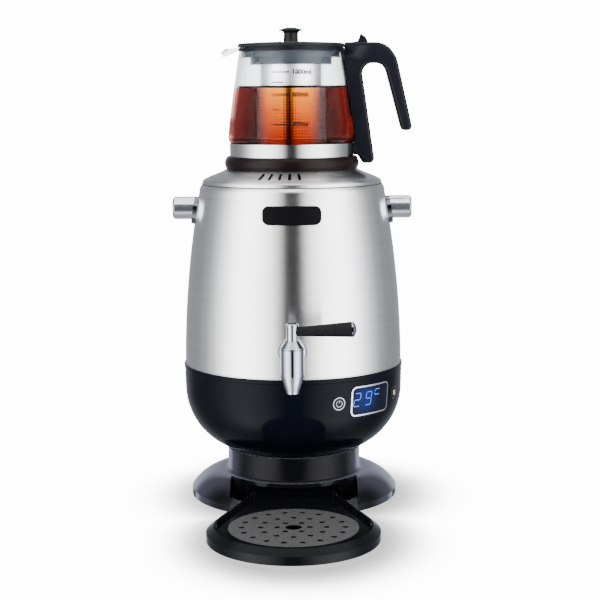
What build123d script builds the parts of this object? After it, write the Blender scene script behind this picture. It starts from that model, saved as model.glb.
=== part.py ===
from build123d import *
import os
from math import acos, asin, atan2, cos, pi, radians, sin, sqrt

# Electric samovar: a five litre water boiler on a pedestal foot, with a glass tea pot on top,
# a plug tap with a drip tray in front, and a touch of electronics in the lower housing.
# Millimetres, +Z up, origin on the boiler's axis at the surface it stands on.
# The tap faces -Y, so +X is on the right of someone who stands before it.

os.makedirs("parts", exist_ok=True)


def keep(builder, name):
    """Label a finished piece and write it as its own STEP file."""
    builder.part.label = name
    export_step(builder.part, f"parts/{name}.step")


def turn(points, mode=Mode.ADD, plane=Plane.XZ, axis=Axis.Z):
    """Revolve a closed outline of (radius, height) points about an axis."""
    with BuildSketch(plane) as outline:
        with BuildLine():
            Polyline(*points, close=True)
        make_face()
    revolve(outline.sketch, axis=axis, mode=mode)


def tube(r_out, r_in, z_low, z_high, mode=Mode.ADD):
    """A plain ring about the boiler's axis."""
    turn([(r_in, z_low), (r_out, z_low), (r_out, z_high), (r_in, z_high)], mode)


def dome_point(radius, rise):
    """Half way along a round cap of a given rise: its radius and its height over the edge."""
    ball = (radius * radius + rise * rise) / (2 * rise)
    half = asin(radius / ball) / 2 if rise <= radius else (pi - asin(radius / ball)) / 2
    return ball * sin(half), rise - ball + ball * cos(half)


def around(count, radius, first=0.0):
    """Angles in degrees and centres of evenly spaced places on a circle."""
    turns = [first + 360.0 * k / count for k in range(count)]
    return [(a, radius * cos(radians(a)), radius * sin(radians(a))) for a in turns]


# ---------------------------------------------------------------- fits and clearances
slip = 0.3           # between pieces that slide or are lifted apart
snug = 0.1           # between pieces that are fixed together
screw_gap = 0.25     # around a screw's shank in a clearance hole

# ---------------------------------------------------------------- foot
foot_r = 111.4
foot_lift = 1.2      # the shell's edge stands this far above the table
foot_edge_z = 8.5
foot_arc_mid = (100.6, 19.8)
foot_top_r = 76.0
foot_top_z = 27.6
neck_r = 71.8
neck_top_z = 53.0
neck_fillet = 1.8
neck_root_h = 1.2      # the neck starts this far above the flange
foot_wall = 2.6
deck_hole_r = 24.0   # wires pass up through it

notch_half = 67.0    # the flange is cut away this wide for the drip tray
notch_back_r = 77.5
notch_sill_t = 2.0   # thickness of the sill that is left beside the tray's tongue
notch_sill_gap = 1.0
pocket_half = 48.0   # the tray's tongue goes in here
pocket_top_z = 23.5
pocket_back_y = -55.0
pocket_wall = 2.2

plate_t = 2.0        # base plate
foot_ring_in = 92.0
foot_ring_out = 101.0
foot_ring_start = 50.0   # degrees each side of the front where the ring's gap ends
foot_ring_seat = 0.6     # depth of the groove that holds the ring

base_screw_r = 1.6
base_screw_head_r = 3.2
base_screw_head_t = 0.9
base_screw_len = 10.0
base_boss_r = 4.0
base_boss_top_z = 23.0
base_screw_circle = 86.0
base_screw_angles = [-12.0, 55.0, 125.0, 192.0]

gland_z = 41.0       # mains inlet at the back of the neck
gland_r = 7.5
gland_flange_r = 10.0
gland_bore_r = 3.5
gland_out = 4.0
gland_in = 6.0

# ---------------------------------------------------------------- lower housing
housing_spigot_r = 66.0
housing_bottom_z = 56.0
housing_foot_out = 1.7   # the bowl's bottom edge stands out this far from the neck
housing_lip_out = 1.1    # the lip stands out this far from the side
housing_lip_z = 146.1
housing_lip_h = 5.5
housing_side_r = 117.0
housing_arc_mid = (15.4, 41.0)   # inward and down from the side's lower end
housing_flare = 0.7      # the side leans out this much above it
housing_side_z = 118.0
housing_wall = 3.0
housing_shelf_z = 134.0   # the heat shield rests here

foot_screw_r = 2.0
foot_screw_head_r = 3.8
foot_screw_head_t = 2.0
foot_screw_len = 14.0
foot_screw_circle = 56.0
foot_boss_r = 5.5

# ---------------------------------------------------------------- outer shell
shell_t = 0.8
shell_inset = 0.3        # the shell's foot stands this far inside the housing's side
shell_waist_in = 4.7     # half way up it is narrower by this much
shell_waist_z = 239.0
rim_r = 95.9
rim_z = 338.2
shoulder_out = 3.0       # the shoulder's round, outward and down from the rim
shoulder_down = 6.7
shoulder_mid_out = 2.0
shoulder_mid_down = 2.6
rim_roll = 4.4           # the shell is rolled in this far
shell_bottom_r = housing_side_r - shell_inset

# ---------------------------------------------------------------- tank
tank_t = 0.8
tank_bottom_z = 153.0
tank_waist_in = 3.0
tank_waist_z = 245.0
tank_corner = 10.0
tank_gap = 12.7          # between the shell's foot and the tank
tank_mouth_in = 6.7      # the mouth is this much narrower than the rim
tank_neck_down = 16.2    # the straight neck reaches down this far from the rim
tank_flange_in = 1.3

heater_r = 70.0
heater_t = 5.0
element_circle = 56.0
element_r = 4.0
element_gap_angle = 40.0
element_lead = 9.0

shield_t = 1.0
stud_circle = 80.0
stud_r = 2.5
stud_below = 8.0
nut_across = 8.0
nut_t = 4.0
shield_screw_circle = 106.0

cutout_r = 9.0
cutout_t = 7.0
cutout_circle = 28.0
sensor_r = 3.0
sensor_up = 12.0
sensor_down = 14.0

# ---------------------------------------------------------------- electronics
board_size = (96.0, 84.0)
board_t = 1.6
board_z = 76.0
board_post_r = 3.5
board_hole_inset = 5.0
relay_size = (19.0, 15.0, 16.0)
transformer_size = (32.0, 27.0, 24.0)
capacitor_r = 8.0
capacitor_h = 22.0
board_screw_r = 1.4

display_angle = 43.6     # degrees to the right of the tap
display_z = 119.7
display_w = 54.0
display_h = 31.5
display_corner = 6.0
bezel_w = 1.5
bezel_proud = 0.9
bezel_seat = 1.4         # depth of the bezel's groove
panel_out = 0.1          # the panel's cone stands this far out from the bowl's side
panel_slope = 0.075
panel_half_h = 24.0
window_t = 1.6
module_depth = 9.0
module_corner = 2.0

button_r = 5.6
button_ring_r = 6.8
button_z = 119.5
button_angles = {"power_button": 23.6, "keep_warm_button": 64.9}
button_proud = 0.8
button_ring_proud = 0.5
button_back = 5.0

# ---------------------------------------------------------------- tap
tap_z = 175.0
tap_out = 50.0           # from the housing's side to the tap's own axis
tap_y = -housing_side_r - tap_out
tap_r = 11.5
tap_low_z = 161.0
tap_top_z = 187.0
outlet_z = 143.0
outlet_r = 6.2
outlet_bore_r = 4.0
shank_r = 8.0
shank_bore_r = 4.5
shank_in = housing_side_r - 27.0   # the shank ends this far from the boiler's axis
escutcheon_r = 14.75
escutcheon_t = 5.0
plug_r = 7.6
plug_low_z = 161.5
plug_top_z = 186.0
port_r = 3.8
port_step = 0.2          # the side port is this much smaller than the one below
bonnet_cone_z = 194.6
stem_r = 5.65
stem_top_z = 209.0
stem_run = 0.05          # running clearance of the plug and stem
cap_r = 6.3
cap_h = 3.0
lever_z = 203.9
lever_rise = 2.0         # degrees
lever_root_r = 4.7
lever_end_r = 7.6
lever_end_x = 58.0
lever_tip_len = 4.7
lever_spigot_r = 2.2
lever_spigot_len = 4.0
tap_nut_across = 22.0
tap_nut_t = 5.0
seal_t = 2.0

# ---------------------------------------------------------------- carry knobs
knob_z = 312.4
knob_r = 12.2
knob_tip_x = 127.8
knob_sink = 8.0          # the blank starts this far inside the wall before it is cut back
knob_chamfer = 2.2
rosette_r = 15.0
rosette_t = 3.4
rosette_z = 309.6
knob_screw_r = 2.5
knob_screw_head_r = 4.6
knob_screw_head_t = 2.6
knob_screw_bite = 12.0

# ---------------------------------------------------------------- tank cover
cover_t = 1.0
cover_edge_r = rim_r + 0.2
cover_edge_top_r = rim_r - 0.5
cover_edge_z = rim_z + 4.4
cover_points = [(rim_r - 7.1, rim_z + 7.6), (rim_r - 17.9, rim_z + 11.8)]
cover_seat_r = 70.0
cover_seat_z = rim_z + 15.5
cover_hole_r = 60.0
slot_in_r = rim_r - 21.9
slot_out_r = rim_r - 7.9
slot_w = 3.0
slot_first = -22.2       # degrees to the right of the tap
slot_pitch = 6.95
slot_count = 5
liner_r = rim_r - 1.7
liner_t = 2.2
liner_skirt_r = rim_r - 7.7
liner_skirt_t = 2.0
liner_skirt_z = rim_z - 16.2
liner_inner_t = 2.4
liner_windows = 6
liner_window_in = 66.0
liner_window_out = 82.0
gasket_t = 4.0
gasket_z = rim_z - 11.2
gasket_groove = 0.8
gasket_bulge = 0.7

# ---------------------------------------------------------------- pot seat ring
seat_bulge_r = 71.6
seat_bulge_z = cover_seat_z + 6.1
seat_low_r = 69.4
seat_top_r = 68.6
seat_top_z = cover_seat_z + 13.7
seat_shelf_z = cover_seat_z + 12.3
seat_shelf_r = 66.5
seat_in_r = 54.0

# ---------------------------------------------------------------- tea pot
glass_t = 2.2
band_r = 66.0
band_t = 0.8
band_h = 15.0
band_top_z = seat_shelf_z + band_h
glass_shoulder = (band_r + 0.7, band_top_z + 2.6)
glass_belly = (band_r + 1.4, band_top_z + 6.5)
glass_flank = (band_r + 0.8, band_top_z + 15.0)
glass_line_low = (band_r - 0.6, band_top_z + 27.0)
glass_rim_r = 54.6
glass_rim_z = band_top_z + 99.6
glass_corner = 6.0
band_foot_t = 0.8
band_foot_in = 52.0
spout_tip_x = -glass_rim_r - 17.4
spout_tip_z = glass_rim_z - 9.1
spout_root_x = -glass_rim_r + 4.6
spout_root_r = 15.0
spout_tip_r = 5.2

rim_collar_t = 1.8

handle_w = 21.0
handle_top_z = glass_rim_z + 5.8
handle_bolt_seat = band_r + 16.0
handle_fillet = 3.6
handle_bolt_r = 2.0
handle_bolt_z = band_top_z - 7.4
handle_bolt_head_r = 3.6
handle_bolt_head_t = 1.8

catch_w = 9.0
catch_gap = 0.5
catch_pivot = (glass_rim_r + 15.4, glass_rim_z + 2.4)
# the thumb tab, from the pivot
catch_tab = [(0.6, 4.6), (3.8, 12.6), (9.4, 8.4), (11.0, 4.0), (3.4, -2.0), (-3.4, -2.4)]
catch_pin_r = 1.5
catch_pin_len = 15.0
catch_slot_low_z = glass_rim_z - 2.6

# ---------------------------------------------------------------- pot lid
lid_r = glass_rim_r + 1.8
lid_low_z = glass_rim_z + slip
lid_edge_h = 4.3
lid_crown_h = 2.0
lid_edge_z = lid_low_z + lid_edge_h
lid_top_z = lid_edge_z + lid_crown_h
knob_seat_z = lid_top_z - 3.2
lid_screw_len = 12.0
gasket_seat_z = glass_rim_z - 5.0
collar_r = glass_rim_r - 3.0
collar_step_z = glass_rim_z - 9.9
collar_low_r = glass_rim_r - 11.0
collar_low_z = glass_rim_z - 17.2
collar_t = 2.2
collar_in_r = 35.6
lid_gasket_r = collar_r + 0.5
lid_gasket_t = 2.4
knob_stem_r = 7.9
knob_head_r = 13.1
knob_head_z = lid_top_z + 10.4
knob_top_z = knob_head_z + 4.8
lid_screw_r = 2.0
lid_screw_head_r = 4.2

infuser_r = collar_in_r - 1.2
infuser_t = 0.7
infuser_top_z = glass_rim_z - 2.0
infuser_h = 96.0
infuser_low_z = infuser_top_z - infuser_h
infuser_band_h = 8.0
sleeve_t = 1.6
lug_count = 3
lug_low_z = glass_rim_z - 10.8
lug_h = 2.6
lug_out = 1.3            # the lugs reach this far into the sleeve
lug_turn = 30.0
lug_arc = 8.0
lug_ease = 1.0           # degrees of play each side of a lug

# ---------------------------------------------------------------- drip tray
tray_y = tap_y - 13.0    # the tap drips on the grate's rear half
tray_r = 85.8
tray_side_z = 9.0
tray_rim_z = 15.0
tray_recess_r = 76.4
tray_land = 2.0
tray_gap = 0.5
tray_back_wall = 3.0
tray_tongue_half = 47.2
tray_tongue_y = -77.0
tray_corner = 5.0
tray_ledge_z = 10.6
tray_well_r = 61.0
tray_floor_t = 2.4
grate_r = 64.3
grate_t = 1.3
grate_centre_r = 8.3
grate_hole_r = 3.0
grate_ring_r = [16.0, 32.5, 51.0]
grate_ring_counts = [6, 12, 18]


# ================================================================ foot
def foot_outline(inset):
    """The foot's outside, or its inside at a given wall, with the neck open at the top."""
    # the way inward, square to the flange, at its middle and at its top
    mid_in, mid_down = 0.55, 0.84
    top_in, top_down = 0.22, 0.98
    edge_r = foot_r - inset
    mid = (foot_arc_mid[0] - mid_in * inset, foot_arc_mid[1] - mid_down * inset)
    end = (foot_top_r - top_in * inset, foot_top_z - top_down * inset)
    low = foot_lift if inset == 0 else foot_lift - 1
    top = neck_top_z - inset
    with BuildSketch(Plane.XZ) as outline:
        with BuildLine():
            Line((0, low), (edge_r, low))
            Line((edge_r, low), (edge_r, foot_edge_z))
            ThreePointArc((edge_r, foot_edge_z), mid, end)
            Line(end, (neck_r - inset, end[1] + neck_root_h))
            Line((neck_r - inset, end[1] + neck_root_h), (neck_r - inset, top))
            Polyline((neck_r - inset, top), (0, top), (0, low))
        make_face()
    return outline.sketch


def box_between(x, y, z, mode=Mode.ADD):
    """A box from its lowest to its highest coordinate along each axis."""
    size = [high - low for low, high in (x, y, z)]
    centre = [(high + low) / 2 for low, high in (x, y, z)]
    with Locations(tuple(centre)):
        Box(*size, mode=mode)


def tray_plan(inset, back_y):
    """The tray's plan: a circle with a tongue that narrows back to the foot's pocket."""
    radius = tray_recess_r + tray_land - inset
    half = tray_tongue_half - inset
    reach = sqrt(half * half + (tray_tongue_y - tray_y) ** 2)
    lean = atan2(tray_tongue_y - tray_y, half)
    touch = lean - acos(radius / reach)
    tx, ty = radius * cos(touch), tray_y + radius * sin(touch)
    with BuildSketch(Plane.XY) as plan:
        with BuildLine():
            ThreePointArc((tx, ty), (0, tray_y - radius), (-tx, ty))
            Polyline((-tx, ty), (-half, tray_tongue_y), (-half, back_y), (half, back_y),
                     (half, tray_tongue_y), (tx, ty))
        make_face()
        rear = plan.vertices().group_by(Axis.Y)[-1]
        fillet(rear, tray_corner)
    return plan.sketch


pocket_far_y = -foot_r - 10
tray_back_y = pocket_back_y - tray_gap

with BuildPart() as foot_block:
    # walls of the notch and the pocket, limited by the foot's own outside
    wall_half = notch_half + foot_wall
    box_between((-wall_half, wall_half), (pocket_far_y, 0), (foot_lift, foot_top_z + 4))
    tube(notch_back_r - foot_wall, 0, 0, foot_top_z + 8, mode=Mode.SUBTRACT)
    inner_half = pocket_half + pocket_wall
    box_between(
        (-inner_half, inner_half),
        (pocket_far_y, pocket_back_y + pocket_wall),
        (foot_lift, pocket_top_z + pocket_wall),
    )
    revolve(foot_outline(0), mode=Mode.INTERSECT)

with BuildPart() as foot_cavity:
    revolve(foot_outline(foot_wall))
    add(foot_block.part, mode=Mode.SUBTRACT)

with BuildPart() as foot_shell:
    revolve(foot_outline(0))
    add(foot_cavity.part, mode=Mode.SUBTRACT)
    # bosses for the base plate's screws
    with BuildSketch(Plane.XY.offset(foot_lift + plate_t)):
        for a in base_screw_angles:
            with PolarLocations(base_screw_circle, 1, start_angle=a):
                Circle(base_boss_r)
                Circle(base_screw_r, mode=Mode.SUBTRACT)
    extrude(amount=base_boss_top_z - foot_lift - plate_t)
    # the flange is cut down to a sill in front, and the tongue's pocket runs on under the neck
    with BuildSketch(Plane.XY.offset(foot_lift + notch_sill_t)):
        with Locations((0, pocket_far_y / 2)):
            Rectangle(2 * notch_half, -pocket_far_y)
        Circle(notch_back_r, mode=Mode.SUBTRACT)
    extrude(amount=foot_top_z + 6, mode=Mode.SUBTRACT)
    extrude(tray_plan(-notch_sill_gap, tray_back_y), amount=pocket_top_z, mode=Mode.SUBTRACT)
    box_between(
        (-pocket_half, pocket_half),
        (pocket_far_y, pocket_back_y),
        (0, pocket_top_z),
        mode=Mode.SUBTRACT,
    )
    # deck on top of the neck: wire hole and screw holes
    with BuildSketch(Plane.XY.offset(neck_top_z - foot_wall - 1)):
        Circle(deck_hole_r)
        with PolarLocations(foot_screw_circle, 4, start_angle=45):
            Circle(foot_screw_r + screw_gap)
    extrude(amount=foot_wall + 2, mode=Mode.SUBTRACT)
    # the inlet's hole at the back
    with BuildSketch(Plane.XZ.offset(-neck_r - 1)):
        with Locations((0, gland_z)):
            Circle(gland_r)
    extrude(amount=foot_wall + 2, mode=Mode.SUBTRACT)
    neck_root = foot_shell.edges().filter_by(GeomType.CIRCLE)
    neck_root = [e for e in neck_root if abs(e.center().Z - foot_top_z - neck_root_h) < 0.3 and
                 abs(e.radius - neck_r) < 0.2]
    fillet(neck_root, radius=neck_fillet)
keep(foot_shell, "foot_shell")

with BuildPart() as base_plate:
    with BuildSketch(Plane.XY.offset(foot_lift)):
        Circle(foot_r - foot_wall - slip)
        open_half = notch_half + foot_wall + slip
        with Locations((0, pocket_far_y / 2)):
            Rectangle(2 * open_half, -pocket_far_y, mode=Mode.SUBTRACT)
    extrude(amount=plate_t)
    with BuildSketch(Plane.XY.offset(foot_lift)):
        Circle(notch_back_r - foot_wall - slip)
        inner_open = pocket_half + pocket_wall + slip
        with Locations((0, pocket_far_y / 2 + (pocket_back_y + pocket_wall + slip) / 2)):
            Rectangle(2 * inner_open, -pocket_far_y + pocket_back_y + pocket_wall + slip,
                      mode=Mode.SUBTRACT)
    extrude(amount=plate_t)
    # groove for the rubber ring, screw holes
    with BuildSketch(Plane.XY.offset(foot_lift)):
        Circle(foot_ring_out)
        Circle(foot_ring_in, mode=Mode.SUBTRACT)
    extrude(amount=foot_ring_seat, mode=Mode.SUBTRACT)
    with BuildSketch(Plane.XY.offset(foot_lift - 1)):
        for a in base_screw_angles:
            with PolarLocations(base_screw_circle, 1, start_angle=a):
                Circle(base_screw_r + screw_gap)
    extrude(amount=plate_t + 2, mode=Mode.SUBTRACT)
keep(base_plate, "base_plate")


def ring_on(z_low, z_high, r_in, r_out, start, sweep, mode=Mode.ADD):
    """Part of a plain ring: sweep degrees from the start angle, counted from +X."""
    start_plane = Plane(
        origin=(0, 0, 0),
        x_dir=(cos(radians(start)), sin(radians(start)), 0),
        z_dir=(sin(radians(start)), -cos(radians(start)), 0),
    )
    with BuildSketch(start_plane) as section:
        with BuildLine():
            Polyline((r_in, z_low), (r_out, z_low), (r_out, z_high), (r_in, z_high), close=True)
        make_face()
    revolve(section.sketch, axis=Axis.Z, revolution_arc=sweep, mode=mode)


with BuildPart() as rubber_ring:
    ring_on(0, foot_lift + foot_ring_seat, foot_ring_in + snug, foot_ring_out - snug,
            -90 + foot_ring_start, 360 - 2 * foot_ring_start)
keep(rubber_ring, "rubber_ring")


def screw(x, y, z_seat, shank_r, length, head_r, head_t):
    """An upright pan head screw that comes up from below, its head under z_seat."""
    with Locations((x, y, z_seat)):
        Cylinder(shank_r, length, align=(Align.CENTER, Align.CENTER, Align.MIN))
        Cylinder(head_r, head_t, align=(Align.CENTER, Align.CENTER, Align.MAX))


with BuildPart() as base_screws:
    for a in base_screw_angles:
        x = base_screw_circle * cos(radians(a))
        y = base_screw_circle * sin(radians(a))
        screw(x, y, foot_lift, base_screw_r, base_screw_len, base_screw_head_r,
              base_screw_head_t)
keep(base_screws, "base_screws")

gland_axis = Axis((0, 0, gland_z), (0, 1, 0))
gland_plane = Plane(origin=(0, 0, gland_z), x_dir=(0, 1, 0), z_dir=(1, 0, 0))
with BuildPart() as cord_gland:
    wall_in = neck_r - foot_wall
    turn(
        [
            (wall_in - gland_in, gland_bore_r),
            (neck_r + gland_out, gland_bore_r),
            (neck_r + gland_out, gland_r - 1.5),
            (neck_r + gland_out - 1.0, gland_flange_r - 1.0),
            (neck_r + snug, gland_flange_r),
            (neck_r + snug, gland_r - snug),
            (wall_in - gland_in, gland_r - snug),
        ],
        plane=gland_plane,
        axis=gland_axis,
    )
    # the flange follows the neck
    tube(neck_r + snug, 0, gland_z - 2 * gland_r, gland_z + 2 * gland_r, mode=Mode.SUBTRACT)
    turn(
        [
            (wall_in - gland_in, gland_bore_r),
            (neck_r + 1.0, gland_bore_r),
            (neck_r + 1.0, gland_r - snug),
            (wall_in - gland_in, gland_r - snug),
        ],
        plane=gland_plane,
        axis=gland_axis,
    )
keep(cord_gland, "cord_gland")


# ================================================================ lower housing
def housing_outline(inset, top_z):
    """The bowl's outside at inset 0, or its inside, up to top_z."""
    # the way inward, square to the bowl, at its bottom edge and at its middle
    start_in = 0.35
    mid_in, mid_up = 0.78, 0.62
    low = housing_bottom_z + inset
    start_r = neck_r + housing_foot_out - start_in * inset
    side_r = housing_side_r - inset
    mid = (housing_side_r - housing_arc_mid[0] - mid_in * inset,
           housing_side_z - housing_arc_mid[1] + mid_up * inset)
    with BuildSketch(Plane.XZ) as outline:
        with BuildLine():
            Line((0, low), (start_r, low))
            ThreePointArc((start_r, low), mid, (side_r, housing_side_z))
            Line((side_r, housing_side_z), (side_r + housing_flare, top_z))
            Polyline((side_r + housing_flare, top_z), (0, top_z), (0, low))
        make_face()
    return outline.sketch


def facing(azimuth, z):
    """A plane at the axis that looks outward, at an angle to the right of the tap."""
    a = radians(azimuth)
    return Plane(origin=(0, 0, z), x_dir=(cos(a), sin(a), 0), z_dir=(sin(a), -cos(a), 0))


# the panel's surface is a shallow cone, close to the bowl's own side
panel_r = housing_side_r + panel_out


def panel_skin(inner, outer):
    """A conical skin between two offsets from the panel's surface."""
    low, high = -panel_half_h, panel_half_h
    turn([
        (panel_r + inner + low * panel_slope, display_z + low),
        (panel_r + outer + low * panel_slope, display_z + low),
        (panel_r + outer + high * panel_slope, display_z + high),
        (panel_r + inner + high * panel_slope, display_z + high),
    ])


def round_rect_prism(azimuth, z, w, h, corner, mode=Mode.INTERSECT):
    """A rounded rectangle extruded outward through the bowl's side."""
    with BuildSketch(facing(azimuth, z)) as face:
        RectangleRounded(w, h, corner)
    extrude(face.sketch, amount=housing_side_r + 10, mode=mode)


def round_prism(azimuth, z, radius, mode=Mode.INTERSECT):
    """A disc extruded outward through the bowl's side."""
    with BuildSketch(facing(azimuth, z)) as face:
        Circle(radius)
    extrude(face.sketch, amount=housing_side_r + 10, mode=mode)


opening_w = display_w - 2 * bezel_w
opening_h = display_h - 2 * bezel_w
opening_corner = display_corner - bezel_w
window_ledge = 1.6

with BuildPart() as panel_seats:
    # room for the display's bezel and the buttons' rings, cut from the outside
    panel_skin(-bezel_seat, 8.0)
    seats = panel_seats.part
with BuildPart() as display_seat:
    add(seats)
    round_rect_prism(display_angle, display_z, display_w + 2 * snug, display_h + 2 * snug,
                     display_corner + snug)
with BuildPart() as button_seats:
    for azimuth in button_angles.values():
        with BuildSketch(facing(azimuth, button_z)):
            Circle(button_ring_r + snug)
        extrude(amount=housing_side_r + 10)
    add(seats, mode=Mode.INTERSECT)

shield_screw_angles = [40.0, 160.0, 265.0]
cavity_top_r = shell_bottom_r - shell_t - 2.0
cavity_shelf_r = cavity_top_r - 2.0

housing_lip_r = housing_side_r + housing_lip_out
lip_chamfer = 0.6
seat_rim_h = 3.0         # the rim inside the lip that the shell stands round
shield_boss_r = 6.5
shield_boss_h = 30.0
wire_hole_r = deck_hole_r - 3
screw_bite = 12.0        # depth of the shield screws' holes

with BuildPart() as lower_housing:
    revolve(housing_outline(0, housing_lip_z))
    # spigot on the neck, lip round the top
    tube(housing_spigot_r, 0, neck_top_z, housing_bottom_z + 1)
    turn([
        (0, housing_lip_z - housing_lip_h),
        (housing_side_r, housing_lip_z - housing_lip_h),
        (housing_lip_r, housing_lip_z - housing_lip_h + housing_lip_out),
        (housing_lip_r, housing_lip_z - lip_chamfer),
        (housing_lip_r - lip_chamfer, housing_lip_z),
        (0, housing_lip_z),
    ])
    tube(shell_bottom_r - shell_t - slip, 0, housing_lip_z, housing_lip_z + seat_rim_h)
    revolve(housing_outline(housing_wall, housing_side_z + 1), mode=Mode.SUBTRACT)
    tube(cavity_shelf_r, 0, housing_side_z - 4, housing_shelf_z, mode=Mode.SUBTRACT)
    tube(cavity_top_r, 0, housing_shelf_z, housing_lip_z + 4, mode=Mode.SUBTRACT)
    # posts inside
    floor_z = housing_bottom_z + housing_wall
    with BuildSketch(Plane.XY.offset(floor_z - 1)):
        with PolarLocations(foot_screw_circle, 4, start_angle=45):
            Circle(foot_boss_r)
    extrude(amount=foot_screw_len - 2)
    post_x = board_size[0] / 2 - board_hole_inset
    post_y = board_size[1] / 2 - board_hole_inset
    with BuildSketch(Plane.XY.offset(floor_z - 1)):
        with GridLocations(2 * post_x, 2 * post_y, 2, 2):
            Circle(board_post_r)
    extrude(amount=board_z - floor_z + 1)
    with BuildSketch(Plane.XY.offset(housing_shelf_z - shield_boss_h)):
        for a in shield_screw_angles:
            with PolarLocations(shield_screw_circle, 1, start_angle=a):
                Circle(shield_boss_r)
        Circle(cavity_top_r + 1, mode=Mode.INTERSECT)
    extrude(amount=shield_boss_h)
    # screw holes and the wires' way up
    with BuildSketch(Plane.XY.offset(neck_top_z - 1)):
        Circle(wire_hole_r)
        with PolarLocations(foot_screw_circle, 4, start_angle=45):
            Circle(foot_screw_r + snug / 2)
    extrude(amount=foot_screw_len - 1, mode=Mode.SUBTRACT)
    with BuildSketch(Plane.XY.offset(board_z - 8)):
        with GridLocations(2 * post_x, 2 * post_y, 2, 2):
            Circle(board_screw_r + snug / 2)
    extrude(amount=9, mode=Mode.SUBTRACT)
    with BuildSketch(Plane.XY.offset(housing_shelf_z - screw_bite)):
        for a in shield_screw_angles:
            with PolarLocations(shield_screw_circle, 1, start_angle=a):
                Circle(base_screw_r + snug / 2)
    extrude(amount=screw_bite + 1, mode=Mode.SUBTRACT)
    # display and buttons
    add(display_seat.part, mode=Mode.SUBTRACT)
    add(button_seats.part, mode=Mode.SUBTRACT)
    round_rect_prism(display_angle, display_z, opening_w - 2 * window_ledge,
                     opening_h - 2 * window_ledge, module_corner, mode=Mode.SUBTRACT)
    for azimuth in button_angles.values():
        round_prism(azimuth, button_z, button_r + slip, mode=Mode.SUBTRACT)
keep(lower_housing, "lower_housing")

with BuildPart() as foot_screws:
    for a, x, y in around(4, foot_screw_circle, 45):
        screw(x, y, neck_top_z - foot_wall, foot_screw_r, foot_screw_len - 1,
              foot_screw_head_r, foot_screw_head_t)
keep(foot_screws, "foot_screws")

with BuildPart() as display_bezel:
    panel_skin(-bezel_seat, bezel_proud)
    round_rect_prism(display_angle, display_z, display_w, display_h, display_corner)
    round_rect_prism(display_angle, display_z, opening_w, opening_h, opening_corner,
                     mode=Mode.SUBTRACT)
keep(display_bezel, "display_bezel")

with BuildPart() as display_window:
    panel_skin(-bezel_seat, -bezel_seat + window_t)
    round_rect_prism(display_angle, display_z, opening_w - 2 * snug, opening_h - 2 * snug,
                     opening_corner - snug)
keep(display_window, "display_window")

with BuildPart() as display_module:
    panel_skin(-bezel_seat - snug - module_depth, -bezel_seat - snug)
    round_rect_prism(display_angle, display_z, opening_w - 2 * window_ledge - 2 * snug,
                     opening_h - 2 * window_ledge - 2 * snug, module_corner)
keep(display_module, "display_module")

with BuildPart() as ring_skin:
    panel_skin(-bezel_seat, button_ring_proud)
with BuildPart() as button_rings:
    for azimuth in button_angles.values():
        with BuildSketch(facing(azimuth, button_z)):
            Circle(button_ring_r)
            Circle(button_r + slip, mode=Mode.SUBTRACT)
        extrude(amount=housing_side_r + 10)
    add(ring_skin.part, mode=Mode.INTERSECT)
keep(button_rings, "button_rings")


def button(azimuth):
    """A round push button with a flat back that meets its switch."""
    panel_skin(-button_back, button_proud)
    round_prism(azimuth, button_z, button_r)


with BuildPart() as power_button:
    button(button_angles["power_button"])
keep(power_button, "power_button")
with BuildPart() as keep_warm_button:
    button(button_angles["keep_warm_button"])
keep(keep_warm_button, "keep_warm_button")

with BuildPart() as control_board:
    with BuildSketch(Plane.XY.offset(board_z)):
        Rectangle(*board_size)
        with GridLocations(2 * post_x, 2 * post_y, 2, 2):
            Circle(board_screw_r + screw_gap, mode=Mode.SUBTRACT)
    extrude(amount=board_t)
    on_board = (Align.CENTER, Align.CENTER, Align.MIN)
    with Locations((-22, 14, board_z + board_t)):
        Box(*transformer_size, align=on_board)
    with Locations((16, 18, board_z + board_t), (16, -2, board_z + board_t)):
        Box(*relay_size, align=on_board)
    with Locations((-26, -22, board_z + board_t)):
        Cylinder(capacitor_r, capacitor_h, align=on_board)
keep(control_board, "control_board")

with BuildPart() as board_screws:
    with GridLocations(2 * post_x, 2 * post_y, 2, 2):
        with Locations((0, 0, board_z + board_t)):
            Cylinder(board_screw_r, 8, align=(Align.CENTER, Align.CENTER, Align.MAX))
            Cylinder(2 * board_screw_r, 1.6, align=on_board)
keep(board_screws, "board_screws")


# ================================================================ tank and heater
def arc_radius_at(points, height):
    """Radius at a height on the arc through three (radius, height) points."""
    (ax, ay), (bx, by), (cx, cy) = points
    d = 2 * (ax * (by - cy) + bx * (cy - ay) + cx * (ay - by))
    a2, b2, c2 = ax * ax + ay * ay, bx * bx + by * by, cx * cx + cy * cy
    ux = (a2 * (by - cy) + b2 * (cy - ay) + c2 * (ay - by)) / d
    uy = (a2 * (cx - bx) + b2 * (ax - cx) + c2 * (bx - ax)) / d
    big = sqrt((ax - ux) ** 2 + (ay - uy) ** 2)
    return ux + sqrt(big * big - (height - uy) ** 2)


shoulder_low = (rim_r + shoulder_out, rim_z - shoulder_down)
shoulder_mid = (rim_r + shoulder_mid_out, rim_z - shoulder_mid_down)
shell_mid = (shell_bottom_r - shell_waist_in, shell_waist_z)
shell_arc = [(shell_bottom_r, housing_lip_z), shell_mid, shoulder_low]


def shell_r(height):
    """The steel shell's outside radius at a height."""
    return arc_radius_at(shell_arc, height)


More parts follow.
